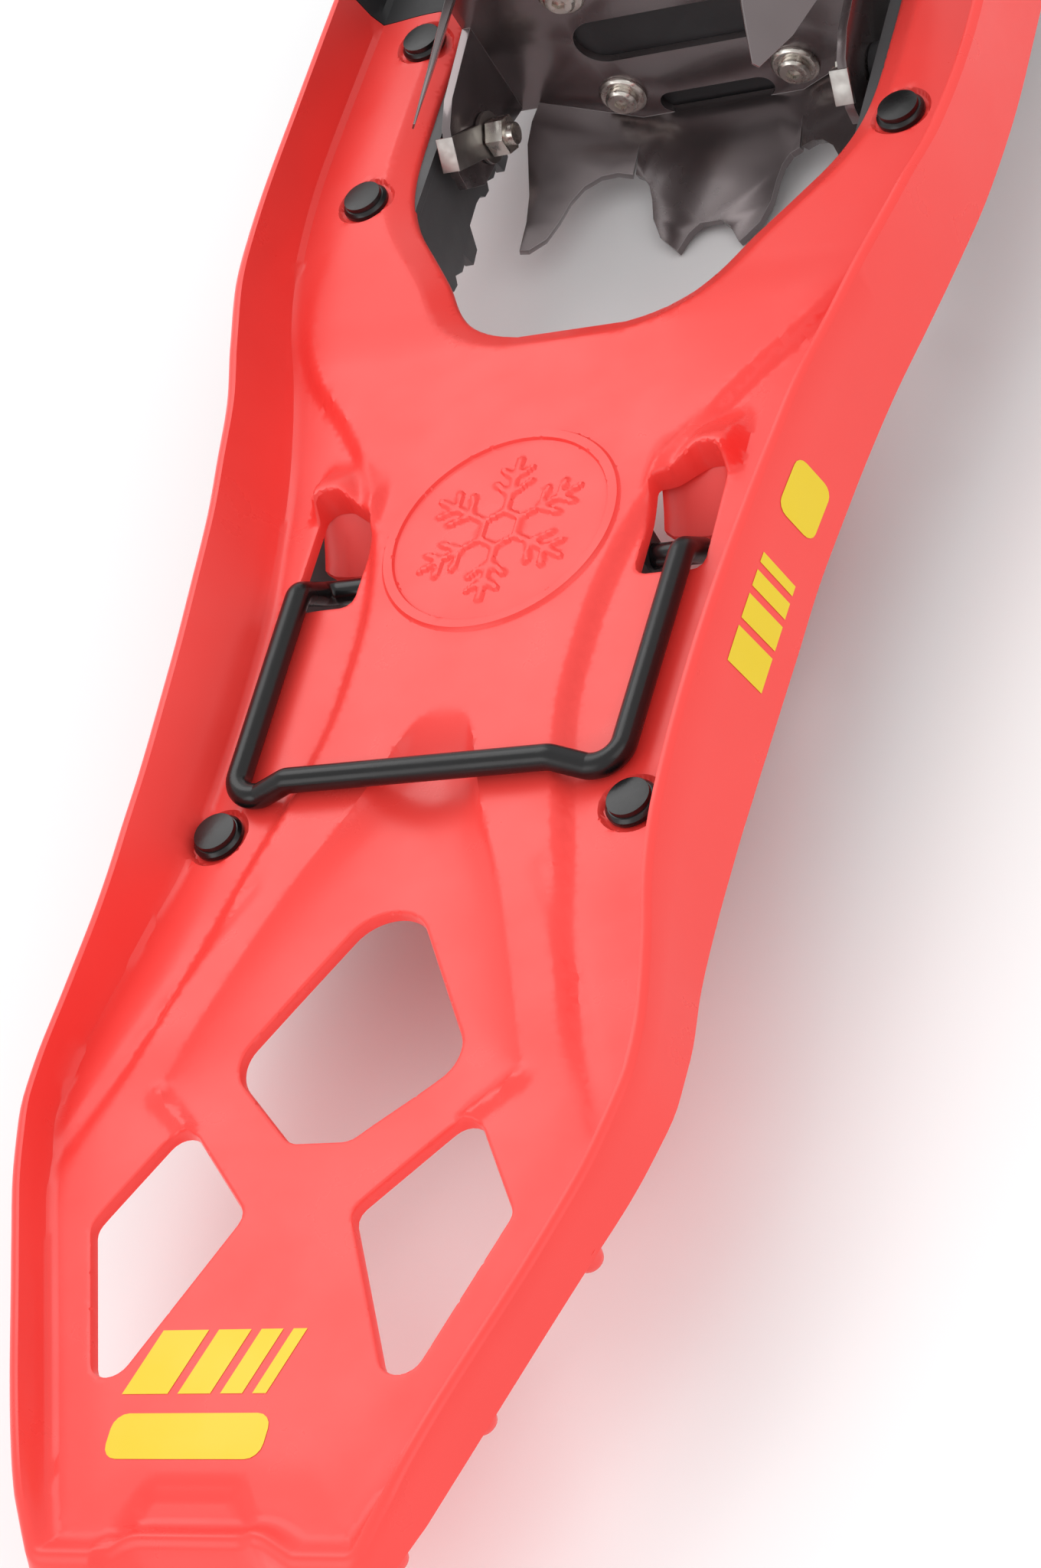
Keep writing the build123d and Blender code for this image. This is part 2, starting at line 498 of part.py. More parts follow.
def make_strap(name, y):
    """A ladder strap fixed to the right wing, and the ratchet on the left wing that holds it."""
    strap = arch_band(STRAP_R, STRAP_THICK, y, STRAP_WIDE, 24, 146)
    teeth = []
    for k in range(11):
        angle = math.radians(100 + 3.4 * k)
        tooth = Plane(origin=(math.cos(angle) * (STRAP_R + STRAP_THICK - 0.1), y,
                              ARCH_Z + math.sin(angle) * (STRAP_R + STRAP_THICK - 0.1)),
                      x_dir=(0, 1, 0), z_dir=(math.cos(angle), 0, math.sin(angle))) * Box(12, 1.4, 1.8)
        teeth.append(tooth)
    for tooth in teeth:
        strap += tooth
    floor_r = ARCH_R + WING_THICK + 0.05
    base = arch_band(floor_r, 1.8, y, STRAP_WIDE + 6.0, RATCHET_START, RATCHET_END)
    for edge in (-1, 1):
        wall_y = y + edge * (STRAP_WIDE / 2 + 1.9)
        base += arch_band(floor_r, RATCHET_WALL, wall_y, 2.2, RATCHET_START + 4, RATCHET_END - 4)
    hinge_angle = math.radians(LEVER_ANGLE)
    hinge_r = STRAP_R + STRAP_THICK + LEVER_LIFT
    hx, hz = hinge_r * math.cos(hinge_angle), ARCH_Z + hinge_r * math.sin(hinge_angle)
    pin_long = STRAP_WIDE + 7.6
    base -= drum(PIN_R + RUNNING, 60, hx, y - 30, hz, "Y")
    pin = drum(PIN_R, pin_long, hx, y - pin_long / 2, hz, "Y")
    pin += drum(PIN_HEAD_R, 1.0, hx, y + pin_long / 2, hz, "Y")
    pin += drum(PIN_HEAD_R, 1.0, hx, y - pin_long / 2 - 1.0, hz, "Y")
    spot = Plane(origin=(hx, y, hz), x_dir=(math.sin(hinge_angle), 0, -math.cos(hinge_angle)),
                 z_dir=(math.cos(hinge_angle), 0, math.sin(hinge_angle)))
    arm = Pos(10.75, 0, 1.2) * Box(26.5, LEVER_WIDE, 3.0)
    arm = fillet(arm.edges().filter_by(Axis.Z).group_by(Axis.X)[-1], 5.0)
    lever = arm + drum(PIN_R + 1.7, LEVER_WIDE, 0, -LEVER_WIDE / 2, 0, "Y")
    lever -= drum(PIN_R + RUNNING, 60, 0, -30, 0, "Y")
    strap -= across(RIVET_R + FIT, 30, y, RIVET_ANGLE, ARCH_R)
    for dy in (-BASE_RIVET_SPREAD, BASE_RIVET_SPREAD):
        base -= across(BASE_RIVET_R + FIT, 30, y + dy, BASE_RIVET_ANGLE, ARCH_R - 5)
    keep(name + "_strap", tilted(strap))
    keep(name + "_ratchet_base", tilted(base))
    keep(name + "_ratchet_pin", tilted(pin))
    keep(name + "_ratchet_lever", tilted(spot * lever))
    wing_r = ARCH_R + WING_THICK
    strap_top = STRAP_R + STRAP_THICK
    rivets = [across(RIVET_R, strap_top + 0.9 - ARCH_R, y, RIVET_ANGLE, ARCH_R + 0.1)]
    rivets[0] += across(2 * RIVET_R, STRAP_R - 0.25 - wing_r, y, RIVET_ANGLE, wing_r + 0.05)
    rivets[0] += across(2 * RIVET_R, 1.0, y, RIVET_ANGLE, strap_top + 0.05)
    for dy in (-BASE_RIVET_SPREAD, BASE_RIVET_SPREAD):
        rivets.append(across(BASE_RIVET_R, floor_r + 1.75 - ARCH_R, y + dy, BASE_RIVET_ANGLE, ARCH_R + 0.1))
    keep(name + "_rivets", *[tilted(r) for r in rivets])


def make_heel_strap():
    """A loop behind the boot's heel that swings on a rivet at each wing."""
    inner_x = ARCH_R + WING_THICK + GAP
    thick = 3.0
    loop_r = 40.0
    outer_x = inner_x + thick
    end_y, bend_y = HEEL_HINGE_Y + 10, HEEL_HINGE_Y - 16
    outer_r = loop_r + thick
    outline = [
        Line((outer_x, end_y), (outer_x, bend_y)), Line((outer_x, bend_y), (outer_r, HEEL_BACK_Y)),
        ThreePointArc((outer_r, HEEL_BACK_Y), (0, HEEL_BACK_Y - outer_r), (-outer_r, HEEL_BACK_Y)),
        Line((-outer_r, HEEL_BACK_Y), (-outer_x, bend_y)), Line((-outer_x, bend_y), (-outer_x, end_y)),
        Line((-outer_x, end_y), (-inner_x, end_y)), Line((-inner_x, end_y), (-inner_x, bend_y)),
        Line((-inner_x, bend_y), (-loop_r, HEEL_BACK_Y)),
        ThreePointArc((-loop_r, HEEL_BACK_Y), (0, HEEL_BACK_Y - loop_r), (loop_r, HEEL_BACK_Y)),
        Line((loop_r, HEEL_BACK_Y), (inner_x, bend_y)), Line((inner_x, bend_y), (inner_x, end_y)),
        Line((inner_x, end_y), (outer_x, end_y)),
    ]
    strap = extrude(Pos(0, 0, HEEL_HINGE_Z - STRAP_WIDE / 2) * make_face(outline), STRAP_WIDE)
    strap -= drum(2.5 + RUNNING, 200, -100, HEEL_HINGE_Y, HEEL_HINGE_Z, "X")
    keep("heel_strap", tilted(strap))
    rivet = drum(2.5, outer_x - inner_x + 5.5, inner_x - 4.0, HEEL_HINGE_Y, HEEL_HINGE_Z, "X")
    rivet += drum(5.0, 1.2, outer_x + 0.3, HEEL_HINGE_Y, HEEL_HINGE_Z, "X")
    rivet += drum(4.5, 1.2, ARCH_R - 1.9, HEEL_HINGE_Y, HEEL_HINGE_Z, "X")
    keep("heel_strap_rivets", *[tilted(r) for r in both(rivet)])

    pad_out, pad_in = loop_r - 0.1, loop_r - 4.1
    pad = [
        ThreePointArc((pad_out, HEEL_BACK_Y), (0, HEEL_BACK_Y - pad_out), (-pad_out, HEEL_BACK_Y)),
        Line((-pad_out, HEEL_BACK_Y), (-pad_in, HEEL_BACK_Y)),
        ThreePointArc((-pad_in, HEEL_BACK_Y), (0, HEEL_BACK_Y - pad_in), (pad_in, HEEL_BACK_Y)),
        Line((pad_in, HEEL_BACK_Y), (pad_out, HEEL_BACK_Y)),
    ]
    keep("heel_pad", tilted(extrude(Pos(0, 0, HEEL_HINGE_Z - 14) * make_face(pad), 28)))


make_decks()
make_studs()
make_rails()
make_bail()
make_crampon()
make_hinge()
make_footbed()
make_wings()
for strap_name, strap_y in (("forefoot", FOREFOOT_Y), ("instep", INSTEP_Y)):
    make_strap(strap_name, strap_y)
make_heel_strap()
write_parts()
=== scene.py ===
import json
import math
import bmesh
import bpy
import numpy as np
from mathutils import Matrix, Vector
from mathutils.geometry import delaunay_2d_cdt


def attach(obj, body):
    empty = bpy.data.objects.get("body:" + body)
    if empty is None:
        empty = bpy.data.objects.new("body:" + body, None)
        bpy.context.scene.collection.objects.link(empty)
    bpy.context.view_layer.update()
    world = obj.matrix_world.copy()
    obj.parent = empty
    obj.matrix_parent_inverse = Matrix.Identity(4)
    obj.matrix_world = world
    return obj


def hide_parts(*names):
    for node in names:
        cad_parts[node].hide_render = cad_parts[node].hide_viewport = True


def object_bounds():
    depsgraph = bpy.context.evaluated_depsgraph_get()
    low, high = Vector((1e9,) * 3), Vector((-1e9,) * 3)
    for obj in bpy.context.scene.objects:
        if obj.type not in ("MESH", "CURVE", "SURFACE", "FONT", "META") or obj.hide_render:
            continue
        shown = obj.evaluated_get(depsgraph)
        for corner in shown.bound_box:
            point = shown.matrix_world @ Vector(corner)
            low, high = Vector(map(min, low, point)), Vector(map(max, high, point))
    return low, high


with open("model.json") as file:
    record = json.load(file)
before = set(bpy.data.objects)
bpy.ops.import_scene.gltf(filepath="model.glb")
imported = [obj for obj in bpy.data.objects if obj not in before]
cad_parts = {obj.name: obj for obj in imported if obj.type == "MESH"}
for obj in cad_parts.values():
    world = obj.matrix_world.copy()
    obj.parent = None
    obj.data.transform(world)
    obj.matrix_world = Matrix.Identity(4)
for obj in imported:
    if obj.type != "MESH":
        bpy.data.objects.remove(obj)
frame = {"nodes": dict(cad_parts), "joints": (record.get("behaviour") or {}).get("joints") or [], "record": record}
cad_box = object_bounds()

# A moulded snowshoe. Shapes are worked out in the deck frame, in millimetres, whose origin is the
# centre of the emblem on the heel plateau, and placed from the binding's hinge.
MM = 0.001
HINGE_Y, HINGE_Z = 158.5, -17.0
TILT = math.radians(86)
HINGE = Vector(next(joint["pos_m"] for joint in frame["joints"] if joint["name"] == "binding_pivot"))
DECK = Vector((0.0, HINGE.y - HINGE_Y * MM, HINGE.z - HINGE_Z * MM))
BODY_OF = {node: body for body, nodes in frame["record"]["behaviour"]["bodies"].items() for node in nodes}


def at(x, y, z):
    """A deck-frame point in millimetres, as a place in the scene."""
    return DECK + Vector((x, y, z)) * MM


def bound(x, y, z):
    """A point of the binding, drawn level about its hinge, placed with the binding hanging down."""
    return at(x, HINGE_Y + math.cos(TILT) * y + math.sin(TILT) * z,
              HINGE_Z - math.sin(TILT) * y + math.cos(TILT) * z)


# ---- camera and light
LENS = 93.2
SENSOR_WIDTH = 36.0
SIGHT = 20.0
CAMERA_PLACE = (448.2, -577.9, 605.5)
CAMERA_HEADING = 40.1565
CAMERA_TILT = 47.24
CAMERA_ROLL = -34.837
WORLD_STRENGTH = 0.86
FLOOR_REACH = 6.0
FLOOR_DROP = 0.0005


def make_camera():
    """The photograph's viewpoint: turned about the vertical, tilted up from straight down, rolled."""
    data = bpy.data.cameras.new("camera")
    data.sensor_fit = "AUTO"
    data.sensor_width = SENSOR_WIDTH
    data.lens = LENS
    data.clip_end = SIGHT
    camera = bpy.data.objects.new("camera", data)
    bpy.context.scene.collection.objects.link(camera)
    turn = Matrix.Rotation(math.radians(CAMERA_HEADING), 4, "Z")
    turn @= Matrix.Rotation(math.radians(CAMERA_TILT), 4, "X")
    turn @= Matrix.Rotation(math.radians(CAMERA_ROLL), 4, "Z")
    camera.matrix_world = Matrix.Translation(at(*CAMERA_PLACE)) @ turn
    bpy.context.scene.camera = camera


def make_light(name, place, target, size, power):
    """A soft rectangular lamp that points at its target, in metres and watts."""
    data = bpy.data.lights.new(name, "AREA")
    data.shape = "RECTANGLE"
    data.size, data.size_y = size
    data.energy = power
    lamp = bpy.data.objects.new(name, data)
    lamp.location = place
    lamp.rotation_euler = (Vector(target) - Vector(place)).to_track_quat("-Z", "Y").to_euler()
    bpy.context.scene.collection.objects.link(lamp)


def make_stage():
    """Soft studio light and a plain pale floor just under the model."""
    make_light("key", (-0.9, 0.9, 1.6), (0, 0, 0), (1.3, 1.3), 10)
    make_light("fill", (1.4, -0.5, 1.3), (0, 0, 0), (1.2, 1.2), 4.5)
    make_light("front", (-0.7, -1.3, 0.9), (0, -0.1, 0), (1.0, 0.8), 4.0)
    world = bpy.data.worlds.new("world")
    world.use_nodes = True
    background = world.node_tree.nodes["Background"]
    background.inputs["Color"].default_value = (1, 1, 1, 1)
    background.inputs["Strength"].default_value = WORLD_STRENGTH
    bpy.context.scene.world = world
    mesh = bpy.data.meshes.new("floor")
    low = cad_box[0][2] - FLOOR_DROP
    corners = [(x * FLOOR_REACH, y * FLOOR_REACH, low) for x, y in ((-1, -1), (1, -1), (1, 1), (-1, 1))]
    mesh.from_pydata(corners, [], [(0, 1, 2, 3)])
    floor = bpy.data.objects.new("floor", mesh)
    bpy.context.scene.collection.objects.link(floor)
    floor.data.materials.append(MATERIALS["floor"])
    bpy.context.scene.view_settings.view_transform = "Standard"


# ---- materials
MATERIALS = {}
STEEL = (0.19, 0.157, 0.16)
STEEL_DARK = (0.172, 0.142, 0.144)
STEEL_LIGHT = (0.205, 0.172, 0.174)
TARNISH = 0.72
NOISE_ROUGHNESS = 0.55


def base_material(name, colour, roughness, metallic=0.0, specular=0.5, coat=0.0, coat_rough=0.1, sheen=0.0):
    """A new material, kept by its name. Gives its node tree and its shader."""
    made = bpy.data.materials.new(name)
    made.use_nodes = True
    shader = made.node_tree.nodes["Principled BSDF"]
    shader.inputs["Base Color"].default_value = (*colour, 1)
    shader.inputs["Roughness"].default_value = roughness
    shader.inputs["Metallic"].default_value = metallic
    shader.inputs["Specular IOR Level"].default_value = specular
    shader.inputs["Coat Weight"].default_value = coat
    shader.inputs["Coat Roughness"].default_value = coat_rough
    shader.inputs["Sheen Weight"].default_value = sheen
    MATERIALS[name] = made
    return made.node_tree, shader


def coordinates(tree):
    return tree.nodes.new("ShaderNodeTexCoord").outputs["Object"]


def noise(tree, vector, scale, detail=3.0):
    made = tree.nodes.new("ShaderNodeTexNoise")
    made.inputs["Scale"].default_value = scale
    made.inputs["Detail"].default_value = detail
    made.inputs["Roughness"].default_value = NOISE_ROUGHNESS
    tree.links.new(vector, made.inputs["Vector"])
    return made.outputs["Fac"]


def ramp(tree, value, dark, light, start=0.3, end=0.7):
    """A colour that goes from dark to light as the value goes from start to end."""
    made = tree.nodes.new("ShaderNodeValToRGB")
    for element, place, colour in zip(made.color_ramp.elements, (start, end), (dark, light)):
        element.position = place
        element.color = (*colour, 1)
    tree.links.new(value, made.inputs["Fac"])
    return made.outputs["Color"]


def grey_ramp(tree, value, low, high):
    return ramp(tree, value, (low,) * 3, (high,) * 3, 0.35, 0.65)


def bump(tree, shader, height, strength, distance):
    made = tree.nodes.new("ShaderNodeBump")
    made.inputs["Strength"].default_value = strength
    made.inputs["Distance"].default_value = distance
    tree.links.new(height, made.inputs["Height"])
    tree.links.new(made.outputs["Normal"], shader.inputs["Normal"])


def plastic(name, dark, light, roughness, grain=900, depth=0.00004, specular=0.5):
    """Moulded plastic: a slow tone drift, fine grain, and roughness that wanders."""
    smooth, rough = roughness
    tree, shader = base_material(name, light, smooth, specular=specular, coat_rough=0.25)
    vector = coordinates(tree)
    tone = ramp(tree, noise(tree, vector, 9.0, 4.0), dark, light)
    tree.links.new(tone, shader.inputs["Base Color"])
    smudge = noise(tree, vector, 45.0, 5.0)
    tree.links.new(grey_ramp(tree, smudge, smooth, rough), shader.inputs["Roughness"])
    bump(tree, shader, noise(tree, vector, grain, 2.0), 0.35, depth)


def coated_steel():
    """Dark bronze-grey coating over stamped steel."""
    tree, shader = base_material("coated_steel", STEEL, 0.24, metallic=0.85, coat=0.4, coat_rough=0.12)
    vector = coordinates(tree)
    tone = ramp(tree, noise(tree, vector, 25.0), STEEL_DARK, STEEL_LIGHT)
    tree.links.new(tone, shader.inputs["Base Color"])
    tree.links.new(grey_ramp(tree, noise(tree, vector, 60.0), 0.2, 0.28), shader.inputs["Roughness"])
    bump(tree, shader, noise(tree, vector, 420.0, 2.0), 0.15, 0.00003)


def plated(name, colour, smooth, rough):
    """Bare or plated metal with patches of tarnish."""
    tree, shader = base_material(name, colour, smooth, metallic=1.0)
    vector = coordinates(tree)
    scuffs = noise(tree, vector, 300.0, 4.0)
    tree.links.new(grey_ramp(tree, scuffs, smooth, rough), shader.inputs["Roughness"])
    dull = tuple(channel * TARNISH for channel in colour)
    tone = ramp(tree, noise(tree, vector, 90.0, 4.0), dull, colour, end=0.65)
    tree.links.new(tone, shader.inputs["Base Color"])
    bump(tree, shader, noise(tree, vector, 700.0, 2.0), 0.2, 0.00004)


def webbing():
    """Dense woven laminate: crossed waves for the weave, sheen for the fibre."""
    tree, shader = base_material("harness_fabric", (0.02, 0.02, 0.022), 0.72, sheen=0.35)
    vector = coordinates(tree)
    weave = tree.nodes.new("ShaderNodeMath")
    weave.operation = "MULTIPLY"
    for socket, axis in zip(weave.inputs, ("X", "Z")):
        wave = tree.nodes.new("ShaderNodeTexWave")
        wave.bands_direction = axis
        wave.inputs["Scale"].default_value = 260.0
        wave.inputs["Distortion"].default_value = 0.4
        tree.links.new(vector, wave.inputs["Vector"])
        tree.links.new(wave.outputs["Fac"], socket)
    tone = ramp(tree, weave.outputs[0], (0.012, 0.012, 0.013), (0.045, 0.046, 0.05), 0.0, 1.0)
    tree.links.new(tone, shader.inputs["Base Color"])
    tree.links.new(grey_ramp(tree, noise(tree, vector, 80.0), 0.62, 0.82), shader.inputs["Roughness"])
    bump(tree, shader, weave.outputs[0], 0.5, 0.00025)


def floor_paper():
    """Pale backdrop paper with a faint drift in tone."""
    tree, shader = base_material("floor", (0.94, 0.94, 0.94), 0.9)
    tone = ramp(tree, noise(tree, coordinates(tree), 2.0), (0.935, 0.935, 0.94), (0.955, 0.955, 0.96))
    tree.links.new(tone, shader.inputs["Base Color"])


def make_materials():
    plastic("red_plastic", (0.9, 0.052, 0.044), (0.96, 0.066, 0.056), (0.27, 0.38), 700, specular=0.45)
    plastic("black_plastic", (0.012, 0.012, 0.013), (0.022, 0.022, 0.024), (0.38, 0.55), 520, 0.00008)
    plastic("stud_plastic", (0.003, 0.003, 0.003), (0.008, 0.008, 0.009), (0.16, 0.34), 300, 0.00012, 0.45)
    plastic("powder_black", (0.003, 0.003, 0.003), (0.007, 0.007, 0.008), (0.22, 0.34), 850, 0.00006, 0.4)
    plastic("yellow_print", (0.8, 0.56, 0.0), (0.86, 0.62, 0.005), (0.32, 0.45), 1200, 0.00002)
    plastic("strap_rubber", (0.022, 0.023, 0.026), (0.045, 0.047, 0.052), (0.42, 0.6), 600, 0.00006)
    plastic("red_lever", (0.62, 0.03, 0.028), (0.74, 0.05, 0.04), (0.3, 0.45))
    plastic("foam", (0.03, 0.03, 0.032), (0.06, 0.06, 0.064), (0.75, 0.92), 260, 0.0003)
    plastic("thread", (0.18, 0.18, 0.19), (0.3, 0.3, 0.31), (0.7, 0.85))
    plastic("rail_steel", (0.05, 0.05, 0.052), (0.085, 0.085, 0.088), (0.42, 0.6), 700, 0.00008)
    coated_steel()
    plated("nickel", (0.66, 0.62, 0.57), 0.18, 0.36)
    plated("zinc", (0.42, 0.4, 0.38), 0.3, 0.46)
    # Lighter metal for the bevelled edges of the rails and crampon: a painted highlight along the rounded edges.
    plated("painted_edge_highlight", (0.3, 0.275, 0.275), 0.28, 0.42)
    webbing()
    floor_paper()


# ---- helpers for meshes
def add_object(mesh, material, body, replaces=None, smooth_angle=35.0):
    """A visible piece that rides on a body, and may stand for a CAD node."""
    made = bpy.data.objects.new(mesh.name, mesh)
    bpy.context.scene.collection.objects.link(made)
    mesh.materials.append(MATERIALS[material])
    mesh.shade_smooth()
    mesh.set_sharp_from_angle(angle=math.radians(smooth_angle))
    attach(made, body)
    if replaces:
        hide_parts(replaces)
    return made


def mesh_of(name, vertices, faces):
    mesh = bpy.data.meshes.new(name)
    mesh.from_pydata([tuple(v) for v in vertices], [], faces)
    mesh.validate()
    mesh.update()
    return mesh


def face_outwards(mesh, merge=0.0):
    """Turn a closed mesh's faces outwards, after joining points that lie closer than merge."""
    work = bmesh.new()
    work.from_mesh(mesh)
    if merge:
        bmesh.ops.remove_doubles(work, verts=work.verts, dist=merge)
    bmesh.ops.recalc_face_normals(work, faces=work.faces)
    work.to_mesh(mesh)
    work.free()


SAME_PLACE = 1e-6
SAME_PLANE = math.radians(1.0)
SHARP = math.radians(28)
EDGE_PROFILE = 0.6


def soften(node_name, material, width, segments=2, edge_material=None):
    """The CAD piece's own shape with every sharp edge rounded, as a stamped or moulded part has."""
    source = frame["nodes"][node_name]
    work = bmesh.new()
    work.from_mesh(source.data)
    bmesh.ops.remove_doubles(work, verts=work.verts, dist=SAME_PLACE)
    bmesh.ops.dissolve_limit(work, angle_limit=SAME_PLANE, verts=work.verts, edges=work.edges)
    sharp = [edge for edge in work.edges if len(edge.link_faces) == 2 and edge.calc_face_angle(0) > SHARP]
    bmesh.ops.bevel(work, geom=sharp, offset=width * MM, offset_type="OFFSET", segments=segments,
                    profile=EDGE_PROFILE, affect="EDGES", clamp_overlap=True, harden_normals=False,
                    material=1 if edge_material else -1)
    bmesh.ops.triangulate(work, faces=[f for f in work.faces if len(f.verts) > 4])
    mesh = bpy.data.meshes.new(node_name + "_shape")
    work.to_mesh(mesh)
    work.free()
    made = add_object(mesh, material, BODY_OF[node_name], node_name)
    # The edge material goes on the bevel faces; the lighter metal used there is a painted edge highlight.
    if edge_material:
        mesh.materials.append(MATERIALS[edge_material])
    return made


# ---- plan outlines
def fillet_corner(before, here, after, radius, step):
    """The arc that rounds one corner."""
    a, b = before - here, after - here
    a /= np.linalg.norm(a)
    b /= np.linalg.norm(b)
    half = math.acos(np.clip(a @ b, -1, 1)) / 2
    reach = radius / math.tan(half)
    centre = here + (a + b) / np.linalg.norm(a + b) * radius / math.sin(half)
    start, end = here + a * reach - centre, here + b * reach - centre
    angle0 = math.atan2(start[1], start[0])
    sweep = (math.atan2(end[1], end[0]) - angle0 + math.pi) % (2 * math.pi) - math.pi
    pieces = max(3, int(abs(sweep) * radius / step))
    turn = [angle0 + sweep * k / pieces for k in range(pieces + 1)]
    return [centre + radius * np.array([math.cos(t), math.sin(t)]) for t in turn]


def rounded(points, radii, step=1.2):
    """A closed outline whose corners are arcs, sampled at a small step."""
    corners = [np.array(p, float) for p in points]
    out = []
    for i, radius in enumerate(radii):
        out += fillet_corner(corners[i - 1], corners[i], corners[(i + 1) % len(corners)], radius, step)
    return resample(np.array(out), step)


def rounded_line(points, radii, step):
    """An open line whose inner corners are arcs."""
    corners = [np.array(p, float) for p in points]
    out = [corners[0]]
    for i, radius in enumerate(radii, 1):
        out += fillet_corner(corners[i - 1], corners[i], corners[i + 1], radius, step)
    return out + [corners[-1]]


def resample(loop, step):
    """Evenly spaced points round a closed outline, keeping its own points."""
    out = []
    for a, b in zip(loop, np.roll(loop, -1, axis=0)):
        length = np.linalg.norm(b - a)
        if length < 1e-6:
            continue
        pieces = max(1, int(round(length / step)))
        out += [a + (b - a) * k / pieces for k in range(pieces)]
    return np.array(out)


def inside(points, loop):
    """Which of the points lie inside a closed outline."""
    x, y = points[:, 0], points[:, 1]
    result = np.zeros(len(points), bool)
    for (x0, y0), (x1, y1) in zip(loop, np.roll(loop, -1, axis=0)):
        if y0 != y1:
            crosses = (y0 > y) != (y1 > y)
            result ^= crosses & (x < (x1 - x0) * (y - y0) / (y1 - y0) + x0)
    return result


def distance(points, loop, closed=True):
    """Unsigned distance from each point to an outline."""
    best = np.full(len(points), 1e9)
    ends = np.roll(loop, -1, axis=0) if closed else loop[1:]
    for a, b in zip(loop, ends):
        d = b - a
        t = np.clip(((points - a) @ d) / max(d @ d, 1e-12), 0, 1)
        gap = points - a - t[:, None] * d
        best = np.minimum(best, np.hypot(gap[:, 0], gap[:, 1]))
    return best


def inward(loop):
    """Unit normals that point into a counter-clockwise outline."""
    tangent = np.roll(loop, -1, axis=0) - np.roll(loop, 1, axis=0)
    tangent /= np.linalg.norm(tangent, axis=1)[:, None]
    return np.stack([-tangent[:, 1], tangent[:, 0]], axis=1)


def counter_clockwise(loop):
    area = np.sum(loop[:, 0] * np.roll(loop[:, 1], -1) - np.roll(loop[:, 0], -1) * loop[:, 1])
    return loop if area > 0 else loop[::-1]


def smoothstep(t):
    t = np.clip(t, 0, 1)
    return t * t * (3 - 2 * t)


class Track:
    """A smooth curve through a few stations along the deck."""

    def __init__(self, places, values):
        order = np.argsort(places)
        self.x = np.array(places, float)[order]
        self.v = np.array(values, float)[order]
        step = np.diff(self.x)
        slope = np.diff(self.v) / step
        self.m = np.concatenate([[slope[0]], (slope[1:] + slope[:-1]) / 2, [slope[-1]]])
        for i in range(1, len(self.x) - 1):
            if slope[i - 1] * slope[i] <= 0:
                self.m[i] = 0.0

    def __call__(self, places):
        p = np.clip(places, self.x[0], self.x[-1])
        i = np.clip(np.searchsorted(self.x, p) - 1, 0, len(self.x) - 2)
        h = self.x[i + 1] - self.x[i]
        t = (p - self.x[i]) / h
        a = (1 + 2 * t) * (1 - t) ** 2 * self.v[i] + t * (1 - t) ** 2 * h * self.m[i]
        return a + t * t * (3 - 2 * t) * self.v[i + 1] + t * t * (t - 1) * h * self.m[i + 1]


# ---- the decks
SEAM_Y = 196.5
SEAM_GAP = 0.3
FLOOR_Z = -3.0
SKIN = 3.0
STUDS = [(53.1, -82.5), (75.5, 125.6), (74.8, 185.1), (76.0, 232.0)]
POCKET_R = 7.4
POCKET_DEPTH = 1.3
RING_R = 30.5
RING_WIDTH = 3.0
LIP = 0.9
BEVEL = 7.0
BEVEL_DROP = 3.4
SKIN_MIN = 1.2
DECK_MIDDLE = np.array([0, 120.0])

# Plan points: spacing of the grid and closeness of any two, and lines round the openings
GRID_HALF = 102
GRID_STEP = 2.0
TOP_SPACING = 0.33
UNDER_SPACING = 0.9
LIP_LINES = (0.35, 0.75, 1.15, 2.0, 3.6)
BEVEL_LINES = (5.2, 6.8, 7.3, 8.6)
UNDER_LIP_LINES = (0.9, 2.6)

